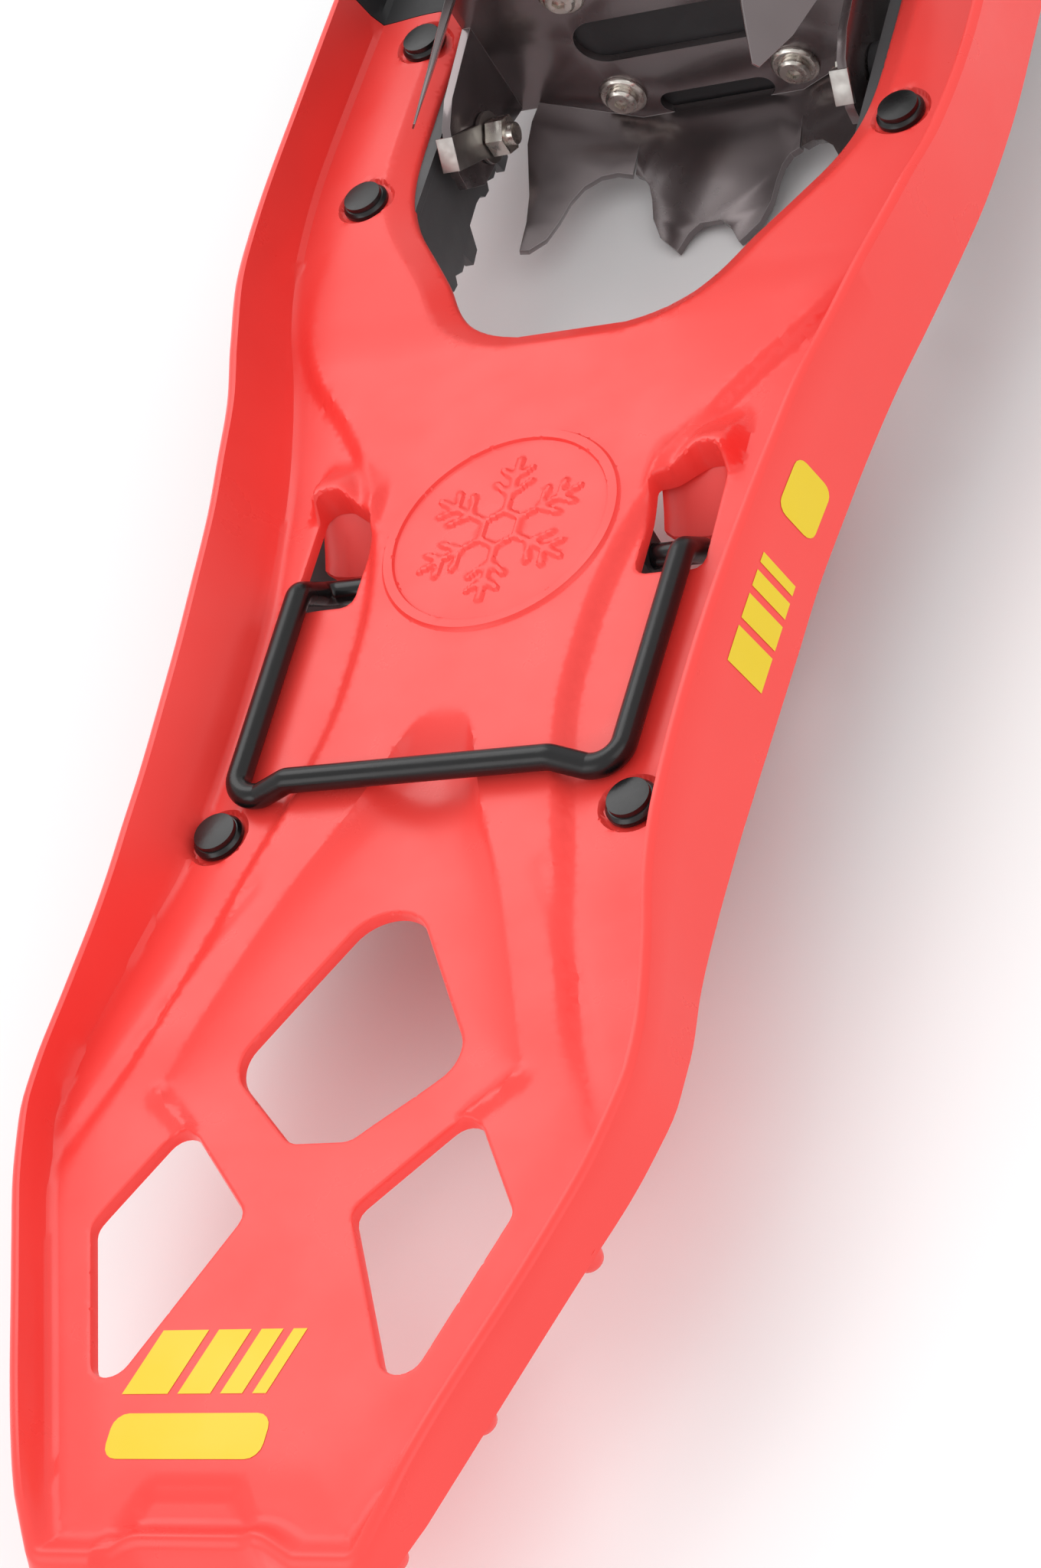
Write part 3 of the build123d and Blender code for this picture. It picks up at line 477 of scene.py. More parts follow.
# y, rim half-width, rim height, skirt half-width, skirt bottom, half-width at the foot of the
# inner wall, plateau half-width, plateau rise, lift of the whole section
STATIONS = [
    (367.0, 10.0, 7.2, 12.5, -8.0, 6.0, 5.0, 0.0, 36.0),
    (356.0, 39.5, 7.6, 43.0, -9.5, 31.5, 24.0, 0.0, 32.0),
    (344.0, 56.5, 8.0, 60.0, -10.0, 46.0, 38.0, 0.0, 27.5),
    (324.0, 74.5, 9.0, 78.0, -11.0, 64.5, 54.0, 0.0, 19.5),
    (296.0, 88.0, 10.0, 91.5, -12.5, 79.5, 68.0, 0.0, 10.5),
    (265.0, 95.5, 11.0, 98.6, -13.5, 87.5, 78.0, 0.0, 3.0),
    (232.0, 97.8, 11.5, 100.8, -14.0, 91.0, 80.0, 0.0, 0.0),
    (SEAM_Y, 98.0, 11.5, 101.0, -14.0, 92.0, 80.0, 0.0, 0.0),
    (143.0, 98.2, 11.2, 101.0, -14.0, 93.0, 80.0, 0.0, 0.0),
    (102.0, 95.9, 12.6, 98.5, -14.0, 89.6, 80.0, 0.3, 0.0),
    (80.0, 91.8, 14.4, 94.8, -14.0, 84.7, 77.0, 1.6, 0.0),
    (61.0, 87.0, 14.4, 91.0, -14.0, 78.3, 68.5, 3.0, 0.0),
    (42.0, 82.2, 13.6, 87.0, -14.0, 72.6, 53.5, 3.0, 0.0),
    (22.0, 78.2, 14.2, 83.8, -14.0, 67.6, 41.0, 3.0, 0.0),
    (3.5, 75.4, 13.7, 81.5, -14.0, 64.2, 34.0, 3.0, 0.0),
    (-16.0, 73.2, 13.7, 79.4, -14.0, 61.0, 29.5, 3.0, 0.0),
    (-36.0, 71.3, 13.5, 78.4, -14.0, 59.5, 28.0, 3.0, 0.0),
    (-54.0, 70.1, 13.2, 77.4, -14.0, 59.0, 28.4, 3.0, 0.0),
    (-73.0, 69.3, 12.5, 76.6, -13.6, 59.3, 32.0, 3.0, 0.0),
    (-92.0, 69.2, 11.7, 76.1, -13.0, 60.5, 37.0, 3.0, 0.0),
    (-110.0, 70.2, 9.9, 76.2, -12.2, 64.6, 41.5, 2.8, 0.0),
    (-128.0, 73.0, 7.4, 76.9, -11.5, 68.5, 47.0, 2.4, 0.0),
    (-146.0, 75.2, 5.8, 78.6, -11.2, 71.5, 52.0, 1.7, 0.0),
    (-156.0, 75.4, 5.3, 78.6, -11.0, 71.5, 55.0, 1.1, 0.0),
    (-170.0, 73.2, 4.6, 76.4, -10.5, 68.5, 57.0, 0.4, 0.0),
    (-184.0, 69.6, 3.8, 72.6, -10.0, 64.5, 57.0, 0.0, 0.0),
    (-199.0, 63.8, 3.4, 66.6, -9.6, 58.4, 50.0, 0.0, 0.0),
    (-246.0, 47.5, 2.6, 50.5, -9.5, 42.0, 35.0, 0.0, 0.0),
    (-257.0, 43.5, 0.4, 46.5, -9.5, 38.0, 31.0, 0.0, 0.0),
    (-268.0, 40.0, -3.0, 42.8, -9.5, 34.5, 27.0, 0.0, 0.0),
]
TRACKS = [Track([s[0] for s in STATIONS], [s[k] for s in STATIONS]) for k in range(1, 9)]
RIM, RIM_Z, SKIRT, SKIRT_Z, FOOT, PLATEAU, RISE, LIFT = range(8)


def track(kind, y):
    return TRACKS[kind](y)


OPENING_HALF = 65.5
OPENING_REAR_Y = 67.5
OPENING_REAR = [(15, 0), (20, 1.2), (28.5, 5.5), (34.5, 11.5), (43, 25.5), (50.5, 36.5), (58, 47.5), (62, 56),
                (64.4, 66), (OPENING_HALF, 92)]
OPENING_ARC_Y = 215
OPENING_ARC_LONG = 70


def mirrored(half):
    """An outline from its right half, which ends on the centre line."""
    return np.array(half + [(-x, y) for x, y in reversed(half[:-1])])


def foot_opening_outline():
    """Half-widths along the opening's rear, straight sides, and half an ellipse in front."""
    width = Track([back for _, back in OPENING_REAR], [half for half, _ in OPENING_REAR])
    places = np.concatenate([np.linspace(0, 6, 7), np.linspace(8, 92, 50)])
    half = [(float(width(place)), OPENING_REAR_Y + place) for place in places]
    half += [(OPENING_HALF, y) for y in np.linspace(162, 213, 26)]
    half += [(OPENING_HALF * math.cos(a), OPENING_ARC_Y + OPENING_ARC_LONG * math.sin(a))
             for a in np.linspace(0, math.pi / 2, 60)]
    return counter_clockwise(resample(mirrored(half), 1.6))


def window(corners, radii):
    return counter_clockwise(rounded(corners, radii))


OPENING = foot_opening_outline()
DIAMOND = window([(0, -96), (29.5, -146.6), (7.5, -167.5), (-7.5, -167.5), (-29.5, -146.6)],
                 [11, 9, 5, 5, 9])
KITE = window([(35.7, -160.5), (51.5, -186.5), (35.6, -231.5), (13.0, -185)], [5, 4, 5, 4])
SLOT = window([(37.5, -16), (54.5, -16), (54.5, 17), (48, 17), (37.5, 9.5)], [3, 3, 3.5, 4, 2.5])


def flipped(loop):
    return counter_clockwise(loop * np.array([-1, 1]))


def skirt_line(half, step=2.4):
    """The whole skirt edge, from the right end of the seam round to the left end."""
    full = mirrored(half)
    out = []
    for a, b in zip(full[:-1], full[1:]):
        pieces = max(1, int(round(np.linalg.norm(b - a) / step)))
        out += [a + (b - a) * k / pieces for k in range(pieces)]
    return np.array(out + [full[-1]])


TAIL_CORNER_Y = -186.0
NOSE_ARC_Y = 260
NOSE_TIP_Y = 367.0


def tail_skirt():
    sides = [(float(track(SKIRT, y)), y) for y in np.arange(SEAM_Y, -184.0, -3.0)]
    corners = [(float(track(SKIRT, TAIL_CORNER_Y)), TAIL_CORNER_Y), (47.5, -254), (40.5, -269.5),
               (22.5, -269.5), (14.5, -265.5), (0.0, -265.5)]
    return skirt_line(sides + [tuple(p) for p in rounded_line(corners, [12, 7.5, 8, 5], 1.5)])


def front_skirt():
    sides = [(float(track(SKIRT, y)), y) for y in np.linspace(SEAM_Y + SEAM_GAP, NOSE_ARC_Y, 20)]
    wide, long = sides[-1][0], NOSE_TIP_Y - NOSE_ARC_Y
    turns = np.linspace(0.02, math.pi / 2, 90)[:-1]
    arc = [(wide * math.cos(a), NOSE_ARC_Y + long * math.sin(a)) for a in turns]
    return skirt_line(sides + arc + [(0.0, NOSE_TIP_Y)])


SEAM_WALL = 95.0
SEAM_CLEAR = 0.4


def closed_boundary(skirt, seam, opening_side):
    """The deck's whole outline: skirt, seam and the part of the foot opening on its side of the seam."""
    outer = abs(skirt[-1][0])
    places = [outer - gap for gap in np.arange(0.5, outer - SEAM_WALL, 0.5)]
    places += list(np.arange(SEAM_WALL, OPENING_HALF + 1.0, -2.0))
    to_left = [(-x, seam) for x in places]
    to_right = [(x, seam) for x in reversed(places)]
    part = OPENING[opening_side * (OPENING[:, 1] - seam) > SEAM_CLEAR]
    part = part[np.argsort(np.arctan2(part[:, 0], opening_side * (part[:, 1] - seam)))]
    middle = [(-OPENING_HALF, seam)] + [tuple(p) for p in part] + [(OPENING_HALF, seam)]
    return np.array([tuple(p) for p in skirt] + to_left + middle + to_right)


def ridge(points, a, b, height, width):
    """A low ridge along a line from a to b."""
    gap = distance(points, np.array([a, b], float), False)
    return height * np.exp(-(gap / width) ** 2)


TAIL_RECESS = np.array([(-27.0, -275.0), (-15.5, -249.0), (5.0, -249.0), (11.0, -257.0), (16.0, -275.0)])
RECESS_DEPTH = 1.5
SCOOP_DEPTH = 4.8
SCOOP_Y = -51.5
SCOOP = Track([-52, -55, -59, -67, -80, -100, -127, -150], [0.5, 5.5, 8.0, 11.0, 16.0, 25.5, 36.0, 44.0])
CRYSTAL_HUB = 5.5
CRYSTAL_REACH = 21.5
BRANCHES = ((10.5, 6.0), (15.5, 5.0))
BRANCH_ANGLE = 52


def crystal_lines():
    """Strokes of a six-armed snow crystal."""
    lines = []
    for k in range(6):
        turn = math.radians(60 * k + 30)
        along = np.array([math.cos(turn), math.sin(turn)])
        lines.append((along * CRYSTAL_HUB, along * CRYSTAL_REACH))
        for place, reach in BRANCHES:
            for side in (-1, 1):
                tip = turn + side * math.radians(BRANCH_ANGLE)
                branch = reach * np.array([math.cos(tip), math.sin(tip)])
                lines.append((along * place, along * place + branch))
        after = math.radians(60 * k + 90)
        lines.append((along * CRYSTAL_HUB, CRYSTAL_HUB * np.array([math.cos(after), math.sin(after)])))
    return lines


CRYSTAL = crystal_lines()
FAR = 9.0


def crystal_gap(x, y):
    """Distance from the emblem's strokes, measured only near them."""
    near = np.hypot(x, y) < RING_R - RING_WIDTH
    points = np.stack([x[near], y[near]], 1)
    best = np.full(len(points), FAR)
    for a, b in CRYSTAL:
        best = np.minimum(best, distance(points, np.array([a, b]), False))
    gap = np.full(len(x), FAR)
    gap[near] = best
    return gap


RIM_INSET = 0.3
OUTER_WALL_MIN = 1.6
CAP_WIDTH = 2.5
CAP_DROP = 1.2
CAP_FALL = 0.25
FLOOR_EDGE = FLOOR_Z - 1.0
FLOOR_REACH_IN = 16.0
FILLET = 1.6
PEAK_DROP = 4.4
PEAK_MIN = 4.4
PLATEAU_END = -168
PLATEAU_SIDE = 5.0


def wall_lines(y):
    """Distances in from the skirt's edge: to the rim's outer edge and to the foot of the inner wall."""
    skirt = track(SKIRT, y)
    return np.maximum(skirt - track(RIM, y) - RIM_INSET, OUTER_WALL_MIN), skirt - track(FOOT, y)


def hollow_lines(y):
    """The same on the underside: to the top of the hollow rim and to the flat behind it."""
    skirt = track(SKIRT, y)
    peak = np.maximum(skirt - track(RIM, y) + 1.8, PEAK_MIN)
    return peak, np.maximum(skirt - track(FOOT, y) - 0.8, peak + 2.0)


def edge_profile(points, edge):
    """Height of the skirt, rim and inner wall by distance from the skirt's edge, and of the floor inside."""
    y = points[:, 1]
    rim_z, skirt_z = track(RIM_Z, y), track(SKIRT_Z, y)
    outer_wall, foot = wall_lines(y)
    crown = outer_wall + CAP_WIDTH
    wall_t = (edge - crown) / np.maximum(foot - crown, 1.0)
    wall = rim_z + (FLOOR_EDGE - rim_z) * wall_t
    floor = FLOOR_EDGE + smoothstep((edge - foot) / FLOOR_REACH_IN)
    blend = np.clip(0.5 + (wall - floor) / (4 * FILLET), 0, 1)
    inner = floor * (1 - blend) + wall * blend + FILLET * blend * (1 - blend)
    outer = skirt_z + (rim_z - CAP_DROP - skirt_z) * np.clip(edge / outer_wall, 0, 1)
    cap_t = np.clip((edge - outer_wall) / CAP_WIDTH, 0, 1)
    cap = rim_z - CAP_DROP * (1 - cap_t) ** 2.4 - CAP_FALL * cap_t ** 3
    z = np.where(edge < crown, cap, np.minimum(inner, rim_z - CAP_FALL))
    return np.where(edge < outer_wall, outer, z) + track(LIFT, y)


def plateau_fade(y):
    return smoothstep((y - PLATEAU_END) / 30.0)


def plateau_rise(ax, y, side):
    """The heel plateau, whose sides slope off over the given width."""
    return track(RISE, y) * smoothstep((track(PLATEAU, y) + side - ax) / side) * plateau_fade(y)


def scoop_drop(ax, y, power=1.0):
    """The hollow that widens behind the heel lift's bar. A lower power makes its bottom flatter."""
    depth = SCOOP_DEPTH * smoothstep((SCOOP_Y - y) / 15.0) * plateau_fade(y)
    bowl = np.clip(1 - (ax / np.maximum(SCOOP(y), 0.3)) ** 2, 0, 1) ** power
    return np.where(y < SCOOP.x[-1], depth * bowl, 0)


def crease_rise(ax, y):
    """A short rib beside the diamond window, and a bent groove outside the scoop."""
    points = np.stack([ax, y], 1)
    groove = np.maximum(ridge(points, (37, -100), (51, -129), 0.7, 2.2),
                        ridge(points, (51, -129), (67, -168), 0.7, 2.2))
    return ridge(points, (44.5, -154), (34.5, -163), 1.5, 1.7) - groove


def hood_rise(ax, y):
    """The hoods over the front ends of the heel lift's slots."""
    crest = 9.8 + smoothstep((ax - 37.5) / 11.0) * 7.6
    swell = 2.8 + 3.4 * smoothstep((ax - 37.0) / 13.0)
    along = smoothstep((crest + 15 - y) / 15.0) * smoothstep((y - crest + 6.0) / 4.5)
    across = smoothstep((ax - 34.5) / 4.0) * smoothstep((58.0 - ax) / 3.4)
    return swell * along * across


def emblem_rise(x, y):
    """The raised ring and the snow crystal inside it."""
    radius = np.hypot(x, y)
    ring = smoothstep((RING_R + 0.15 - radius) / 0.5)
    ring *= smoothstep((radius - RING_R + RING_WIDTH + 0.15) / 0.5)
    return 0.9 * ring + 0.65 * smoothstep((1.05 - crystal_gap(x, y)) / 0.45)


def pocket_drop(ax, y):
    """The round pockets that the studs sit in."""
    near = np.min([np.hypot(ax - x, y - place) for x, place in STUDS], axis=0)
    return POCKET_DEPTH * smoothstep((POCKET_R + 0.5 - near) / 0.8)


def recess_drop(points):
    """The shallow panel at the tail's end."""
    depth = distance(points, TAIL_RECESS) * np.where(inside(points, TAIL_RECESS), 1, -1)
    panel = (points[:, 1] < -244) & (points[:, 1] > -268)
    return np.where(panel, RECESS_DEPTH * smoothstep((depth + 1.0) / 2.0), 0)


def lip_drop(points, loop, bevel, drop):
    """A bevel down towards an opening, and the rounded lip at its edge."""
    gap = distance(points, loop)
    t = np.clip(gap / LIP, 0, 1)
    return drop * np.clip(1 - gap / bevel, 0, 1) + LIP * (1 - np.sqrt(1 - (1 - t) ** 2)) * 0.9


def top_height(points, edge, openings):
    """The sculpted top surface of either deck."""
    x, y = points[:, 0], points[:, 1]
    ax = np.abs(x)
    side = np.minimum(PLATEAU_SIDE, np.maximum(track(FOOT, y) - track(PLATEAU, y) - 1, 2.5))
    z = edge_profile(points, edge) + np.maximum(plateau_rise(ax, y, side), 0)
    z += crease_rise(ax, y) + hood_rise(ax, y) + emblem_rise(x, y)
    z -= scoop_drop(ax, y, 0.7) + pocket_drop(ax, y) + recess_drop(points)
    for loop, bevel, drop in openings:
        z -= lip_drop(points, loop, bevel, drop)
    return z


def under_height(points, edge):
    """The hollow back of the deck, one skin below the top."""
    y, ax = points[:, 1], np.abs(points[:, 0])
    skirt_z, top = track(SKIRT_Z, y), track(RIM_Z, y) - PEAK_DROP
    peak, low = hollow_lines(y)
    rise = skirt_z + (top - skirt_z) * np.clip((edge - SKIN) / (peak - SKIN), 0, 1)
    fall = top + (FLOOR_EDGE - SKIN - top) * np.clip((edge - peak) / (low - peak), 0, 1)
    z = np.where(edge < peak, rise, fall)
    z += np.where(edge > low, smoothstep((edge - low) / FLOOR_REACH_IN), 0)
    return z + plateau_rise(ax, y, PLATEAU_SIDE) + track(LIFT, y) - scoop_drop(ax, y)


def triangulated(points, loops, keep_inside, drop_inside):
    """Delaunay triangles of plan points, with outlines kept as edges and windows left open."""
    edges = []
    for start, count in loops:
        edges += [(start + i, start + (i + 1) % count) for i in range(count)]
    result = delaunay_2d_cdt([Vector(p) for p in points], edges, [], 0, 1e-6)
    places, triangles, origins = result[0], result[2], result[3]
    index, extra = [], []
    for place, source in zip(places, origins):
        if source:
            index.append(source[0])
        else:
            index.append(len(points) + len(extra))
            extra.append([place[0], place[1]])
    full = np.vstack([points, np.array(extra)]) if extra else points
    tri = np.array([[index[k] for k in corners] for corners in triangles if len(corners) == 3])
    middle = full[tri].mean(axis=1)
    good = inside(middle, keep_inside)
    for loop in drop_inside:
        good &= ~inside(middle, loop)
    return full, tri[good]


def thin(points, spacing):
    """Drop points that crowd others, first come first kept."""
    around = [(across, along) for across in (-1, 0, 1) for along in (-1, 0, 1)]
    cells = {}
    kept = []
    for i, (x, y) in enumerate(points):
        column, row = int(x // spacing), int(y // spacing)
        near = (j for across, along in around for j in cells.get((column + across, row + along), ()))
        if all((points[j][0] - x) ** 2 + (points[j][1] - y) ** 2 > spacing ** 2 for j in near):
            cells.setdefault((column, row), []).append(i)
            kept.append(i)
    return points[kept]


def offset_rings(skirt, under):
    """Lines inside the skirt that follow the rim, the inner wall and its foot."""
    outer_wall, foot = wall_lines(skirt[:, 1])
    if under:
        peak, low = hollow_lines(skirt[:, 1])
        offsets = [(SKIN + peak) / 2, peak, peak * 0.66 + low * 0.34, peak * 0.33 + low * 0.67]
        offsets += [low, low + 3, low + 8]
    else:
        crown = outer_wall + CAP_WIDTH
        offsets = [outer_wall * 0.33, outer_wall * 0.66]
        offsets += [outer_wall + gap for gap in (0, 0.35, 0.8, 1.5, 2.1)] + [crown]
        offsets += [crown + (foot - crown) * t for t in (0.2, 0.4, 0.6, 0.8, 0.92)]
        offsets += [foot + gap for gap in (0, 1.2, 2.6, 5)]
    normal = line_normals(skirt)
    return [skirt + normal * offset[:, None] for offset in offsets]


def line_normals(line):
    """Unit normals of the skirt's line that point into the deck."""
    tangent = np.gradient(line, axis=0)
    tangent /= np.linalg.norm(tangent, axis=1)[:, None]
    normal = np.stack([-tangent[:, 1], tangent[:, 0]], axis=1)
    normal *= np.sign(np.sum(normal * (DECK_MIDDLE - line), axis=1).mean())
    normal[0] = (-1, 0)
    normal[-1] = (1, 0)
    return normal


def under_boundary(boundary, skirt):
    """The outline of the underside: one skin inside the skirt, and the seam's corners drawn in with it."""
    low = boundary.copy()
    low[:len(skirt)] += line_normals(skirt) * SKIN
    corner = (np.arange(len(low)) >= len(skirt)) & (np.abs(low[:, 0]) > SEAM_WALL)
    reach = np.abs(low[corner, 0]) - SEAM_WALL
    low[corner, 0] = np.sign(low[corner, 0]) * (SEAM_WALL + reach * 0.5)
    return low


def floor_grid(skirt, rows):
    """Staggered plan points over the deck's floor, clear of its walls."""
    x, y = np.meshgrid(np.arange(-GRID_HALF, GRID_HALF, GRID_STEP), np.arange(*rows, GRID_STEP * 0.87))
    shift = (np.arange(x.shape[0]) % 2)[:, None] * GRID_STEP / 2
    grid = np.stack([(x + shift).ravel(), y.ravel()], 1)
    walls = track(SKIRT, grid[:, 1]) - track(FOOT, grid[:, 1]) + 6.0
    return grid[distance(grid, skirt, False) > walls]


def inner_points(skirt, holes, details, grid, under):
    """Plan points inside a deck: details, lines round each opening, lines along the rim, and the grid."""
    points = [] if under else [np.array(detail) for detail in details]
    for loop in holes + [OPENING]:
        gaps = UNDER_LIP_LINES if under else LIP_LINES
        if loop is OPENING and not under:
            gaps += BEVEL_LINES
        loop = counter_clockwise(loop)
        points += [loop - inward(loop) * gap for gap in gaps]
    points += offset_rings(skirt, under) + [grid]
    return thin(np.vstack(points), UNDER_SPACING if under else TOP_SPACING)


def build_deck(skirt, seam, opening_side, windows, grid_rows, details):
    """Vertices and faces of a closed, hollow-backed moulding: sculpted top, underside and edges."""
    boundary = closed_boundary(skirt, seam, opening_side)
    holes = [np.array(loop) for loop, _, _ in windows]
    openings = windows + [(OPENING, BEVEL, BEVEL_DROP)]
    grid = floor_grid(skirt, grid_rows)
    vertices, faces, starts = [], [], {}
    for under in (False, True):
        outline = under_boundary(boundary, skirt) if under else boundary
        points = inner_points(skirt, holes, details, grid, under)
        good = inside(points, outline) & (distance(points, outline) > 0.15)
        for loop in holes:
            good &= ~inside(points, loop) & (distance(points, loop) > 0.2)
        loops, fixed = [], []
        for loop in [outline] + holes:
            loops.append((len(fixed), len(loop)))
            fixed += [tuple(p) for p in loop]
        full, tri = triangulated(np.vstack([np.array(fixed), points[good]]), loops, outline, holes)
        edge = distance(full, skirt, False)
        z = top_height(full, edge, openings)
        if under:
            z = np.minimum(under_height(full, edge), z - SKIN_MIN)
            z[:len(skirt)] = track(SKIRT_Z, skirt[:, 1]) + track(LIFT, skirt[:, 1])
        base = len(vertices)
        starts[under] = [(base + start, count) for start, count in loops]
        vertices += [at(p[0], p[1], h) for p, h in zip(full, z)]
        for corners in up_facing(full, tri):
            faces.append(tuple(base + i for i in (reversed(corners) if under else corners)))
    for (start, count), (low_start, _) in zip(starts[False], starts[True]):
        for i in range(count):
            j = (i + 1) % count
            faces.append((start + i, low_start + i, low_start + j, start + j))
    return vertices, faces


def up_facing(points, tri):
    a, b, c = points[tri[:, 0]], points[tri[:, 1]], points[tri[:, 2]]
    area = (b[:, 0] - a[:, 0]) * (c[:, 1] - a[:, 1]) - (b[:, 1] - a[:, 1]) * (c[:, 0] - a[:, 0])
    tri = tri[np.abs(area) > 1e-9]
    area = area[np.abs(area) > 1e-9]
    return np.where(area[:, None] > 0, tri, tri[:, ::-1]).tolist()


def circle(cx, cy, radius, step):
    count = max(12, int(2 * math.pi * radius / step))
    return [(cx + radius * math.cos(2 * math.pi * k / count), cy + radius * math.sin(2 * math.pi * k / count))
            for k in range(count)]


def deck_details(front):
    """Plan points that the raised and sunk details need."""
    details = []
    for x, y in STUDS:
        for side in (-1, 1):
            details += [circle(side * x, y, POCKET_R + d, 1.3) for d in (-0.4, -0.1, 0.2, 0.6)]
    if front:
        return details
    for edge in (RING_R - RING_WIDTH, RING_R):
        details += [circle(0, 0, edge + d, 1.1 * (edge + d) / edge) for d in (-0.75, -0.4, -0.05, 0.3, 0.65)]
    fine = np.arange(-23.1, 23.5, 0.7)
    gx, gy = (g.ravel() for g in np.meshgrid(fine, fine))
    details.append(np.stack([gx, gy], 1)[crystal_gap(gx, gy) < 2.2])
    for y in np.arange(-160, 82, 2.5):
        for d in (-0.6, 0.6, 2.5, 4.4, 5.6):
            details.append([(side * (float(track(PLATEAU, y)) + d), y) for side in (-1, 1)])
    for y in np.arange(-150, -52, 1.6):
        for d in (-2.4, -1.2, -0.4, 0.4):
            details.append([(side * max(float(SCOOP(y)) + d, 0.2), y) for side in (-1, 1)])
    places = [(x, y) for x in np.arange(34, 60, 1.2) for y in np.arange(9.4, 34, 1.3)]
    details.append([(side * x, y) for side in (-1, 1) for x, y in places])
    return details


def deck_piece(name, node, material, slot, *shape):
    mesh = mesh_of(name, *build_deck(*shape))
    face_outwards(mesh)
    add_object(mesh, material, "deck", node)


def make_decks():
    windows = [(DIAMOND, 1, 0), (KITE, 1, 0), (flipped(KITE), 1, 0), (SLOT, 1, 0), (flipped(SLOT), 1, 0)]
    deck_piece("tail_deck_shell", "tail_deck", "red_plastic", "red_deck",
               tail_skirt(), SEAM_Y, -1, windows, (-268, SEAM_Y - 1), deck_details(False))
    deck_piece("front_deck_shell", "front_deck", "black_plastic", "black_deck",
               front_skirt(), SEAM_Y + SEAM_GAP, 1, [], (SEAM_Y + 1.5, 366), deck_details(True))


def patch(outline, step=1.6):
    """Points and triangles that fill a flat outline."""
    loop = counter_clockwise(resample(np.array(outline, float), step))
    low, high = loop.min(0), loop.max(0)
    gx, gy = np.meshgrid(np.arange(low[0], high[0], step), np.arange(low[1], high[1], step))
    grid = np.stack([gx.ravel(), gy.ravel()], 1)
    grid = grid[inside(grid, loop) & (distance(grid, loop) > step * 0.4)]
    points, tri = triangulated(np.vstack([loop, grid]), [(0, len(loop))], loop, [])
    return points, up_facing(points, tri)


PRINT_LIFT = 0.12
PRINT_LEFT = -29
BARS_Y = -228
BAR_WIDTHS = (0.17, 0.12, 0.08, 0.05)
WALL_BARS_Y = -52
WALL_HIGH = 26.0


def print_marks(length, height):
    """Slanted bars that get thinner: a plain mark with nothing to read."""
    slant = 0.35 * height
    marks = []
    place = 0.0
    for wide in BAR_WIDTHS:
        run = wide * length * 1.5
        marks.append([(place, 0), (place + run, 0), (place + run + slant, height), (place + slant, height)])
        place += run + 0.055 * length
    return marks


def lay_prints(name, outlines, place):
    """Thin yellow prints from flat outlines, set down on the deck by a function."""
    for k, outline in enumerate(outlines):
        points, triangles = patch(outline)
        mesh = mesh_of(f"{name}_{k}", [at(*spot) for spot in zip(*place(points))], triangles)
        add_object(mesh, "yellow_print", "deck")


def on_tail(points):
    """Plan points laid on the tail's top."""
    kites = [(KITE, 1, 0), (flipped(KITE), 1, 0)]
    edge = distance(points, tail_skirt(), False)
    return points[:, 0], points[:, 1], top_height(points, edge, kites) + PRINT_LIFT


def on_wall(points):
    """Points that run along the outer wall and climb it, laid on the right wall."""
    y, climb = points[:, 0], points[:, 1] / WALL_HIGH
    reach, _ = wall_lines(y)
    rise = track(RIM_Z, y) - CAP_DROP - track(SKIRT_Z, y)
    x = track(SKIRT, y) - reach * climb + PRINT_LIFT
    return x, y, track(SKIRT_Z, y) + rise * climb + PRINT_LIFT * 0.3


def make_prints():
    """Bars and a rounded tab on the tail, and the same up the right wall."""
    bars = [[(x + PRINT_LEFT, y + BARS_Y) for x, y in bar] for bar in print_marks(44, 15)]
    tab = rounded([(PRINT_LEFT, -243), (9, -243), (9, -232.5), (PRINT_LEFT, -232.5)], [3.5] * 4)
    lay_prints("tail_print", bars + [tab], on_tail)
    climbing = [[(y + WALL_BARS_Y, 0.26 + climb * 0.46) for y, climb in bar] for bar in print_marks(38, 1.0)]
    tab = rounded([(-9, 4), (9, 4), (9, 18), (-9, 18)], [3.4] * 4) * np.array([0.85, 0.036]) + (-1.5, 0.1)
    stretch = np.array([1.0, WALL_HIGH])
    lay_prints("wall_print", [np.array(outline) * stretch for outline in climbing + [tab]], on_wall)


# ---- the harness
ARCH_R, ARCH_Z = 50.0, 38.0
WING_THICK = 3.0
PAD_HALF = 1.45
GAP = 0.3
STRAP_INNER_X = ARCH_R + WING_THICK + GAP
STRAP_CLEAR = 0.2
BINDING_EDGE = 5.6
WING_ACROSS, WING_ALONG = 72, 84
STITCHES = 34
SEAM_IN = 4.2
THREAD_LONG = 2.3
THREAD_WIDE = 0.55
THREAD_HIGH = 0.4
BOX_FACES = ((0, 1, 3, 2), (4, 6, 7, 5), (0, 4, 5, 1), (2, 3, 7, 6), (1, 5, 7, 3), (0, 2, 6, 4))


def arch_point(radius, angle, y):
    turn = math.radians(angle)
    return bound(radius * math.cos(turn), y, ARCH_Z + radius * math.sin(turn))


def meets_strap(radius, angle):
    """True where a stitch on the wing would reach the inner face of the heel strap, which hides it."""
    return (radius + THREAD_HIGH) * abs(math.cos(math.radians(angle))) > STRAP_INNER_X - STRAP_CLEAR


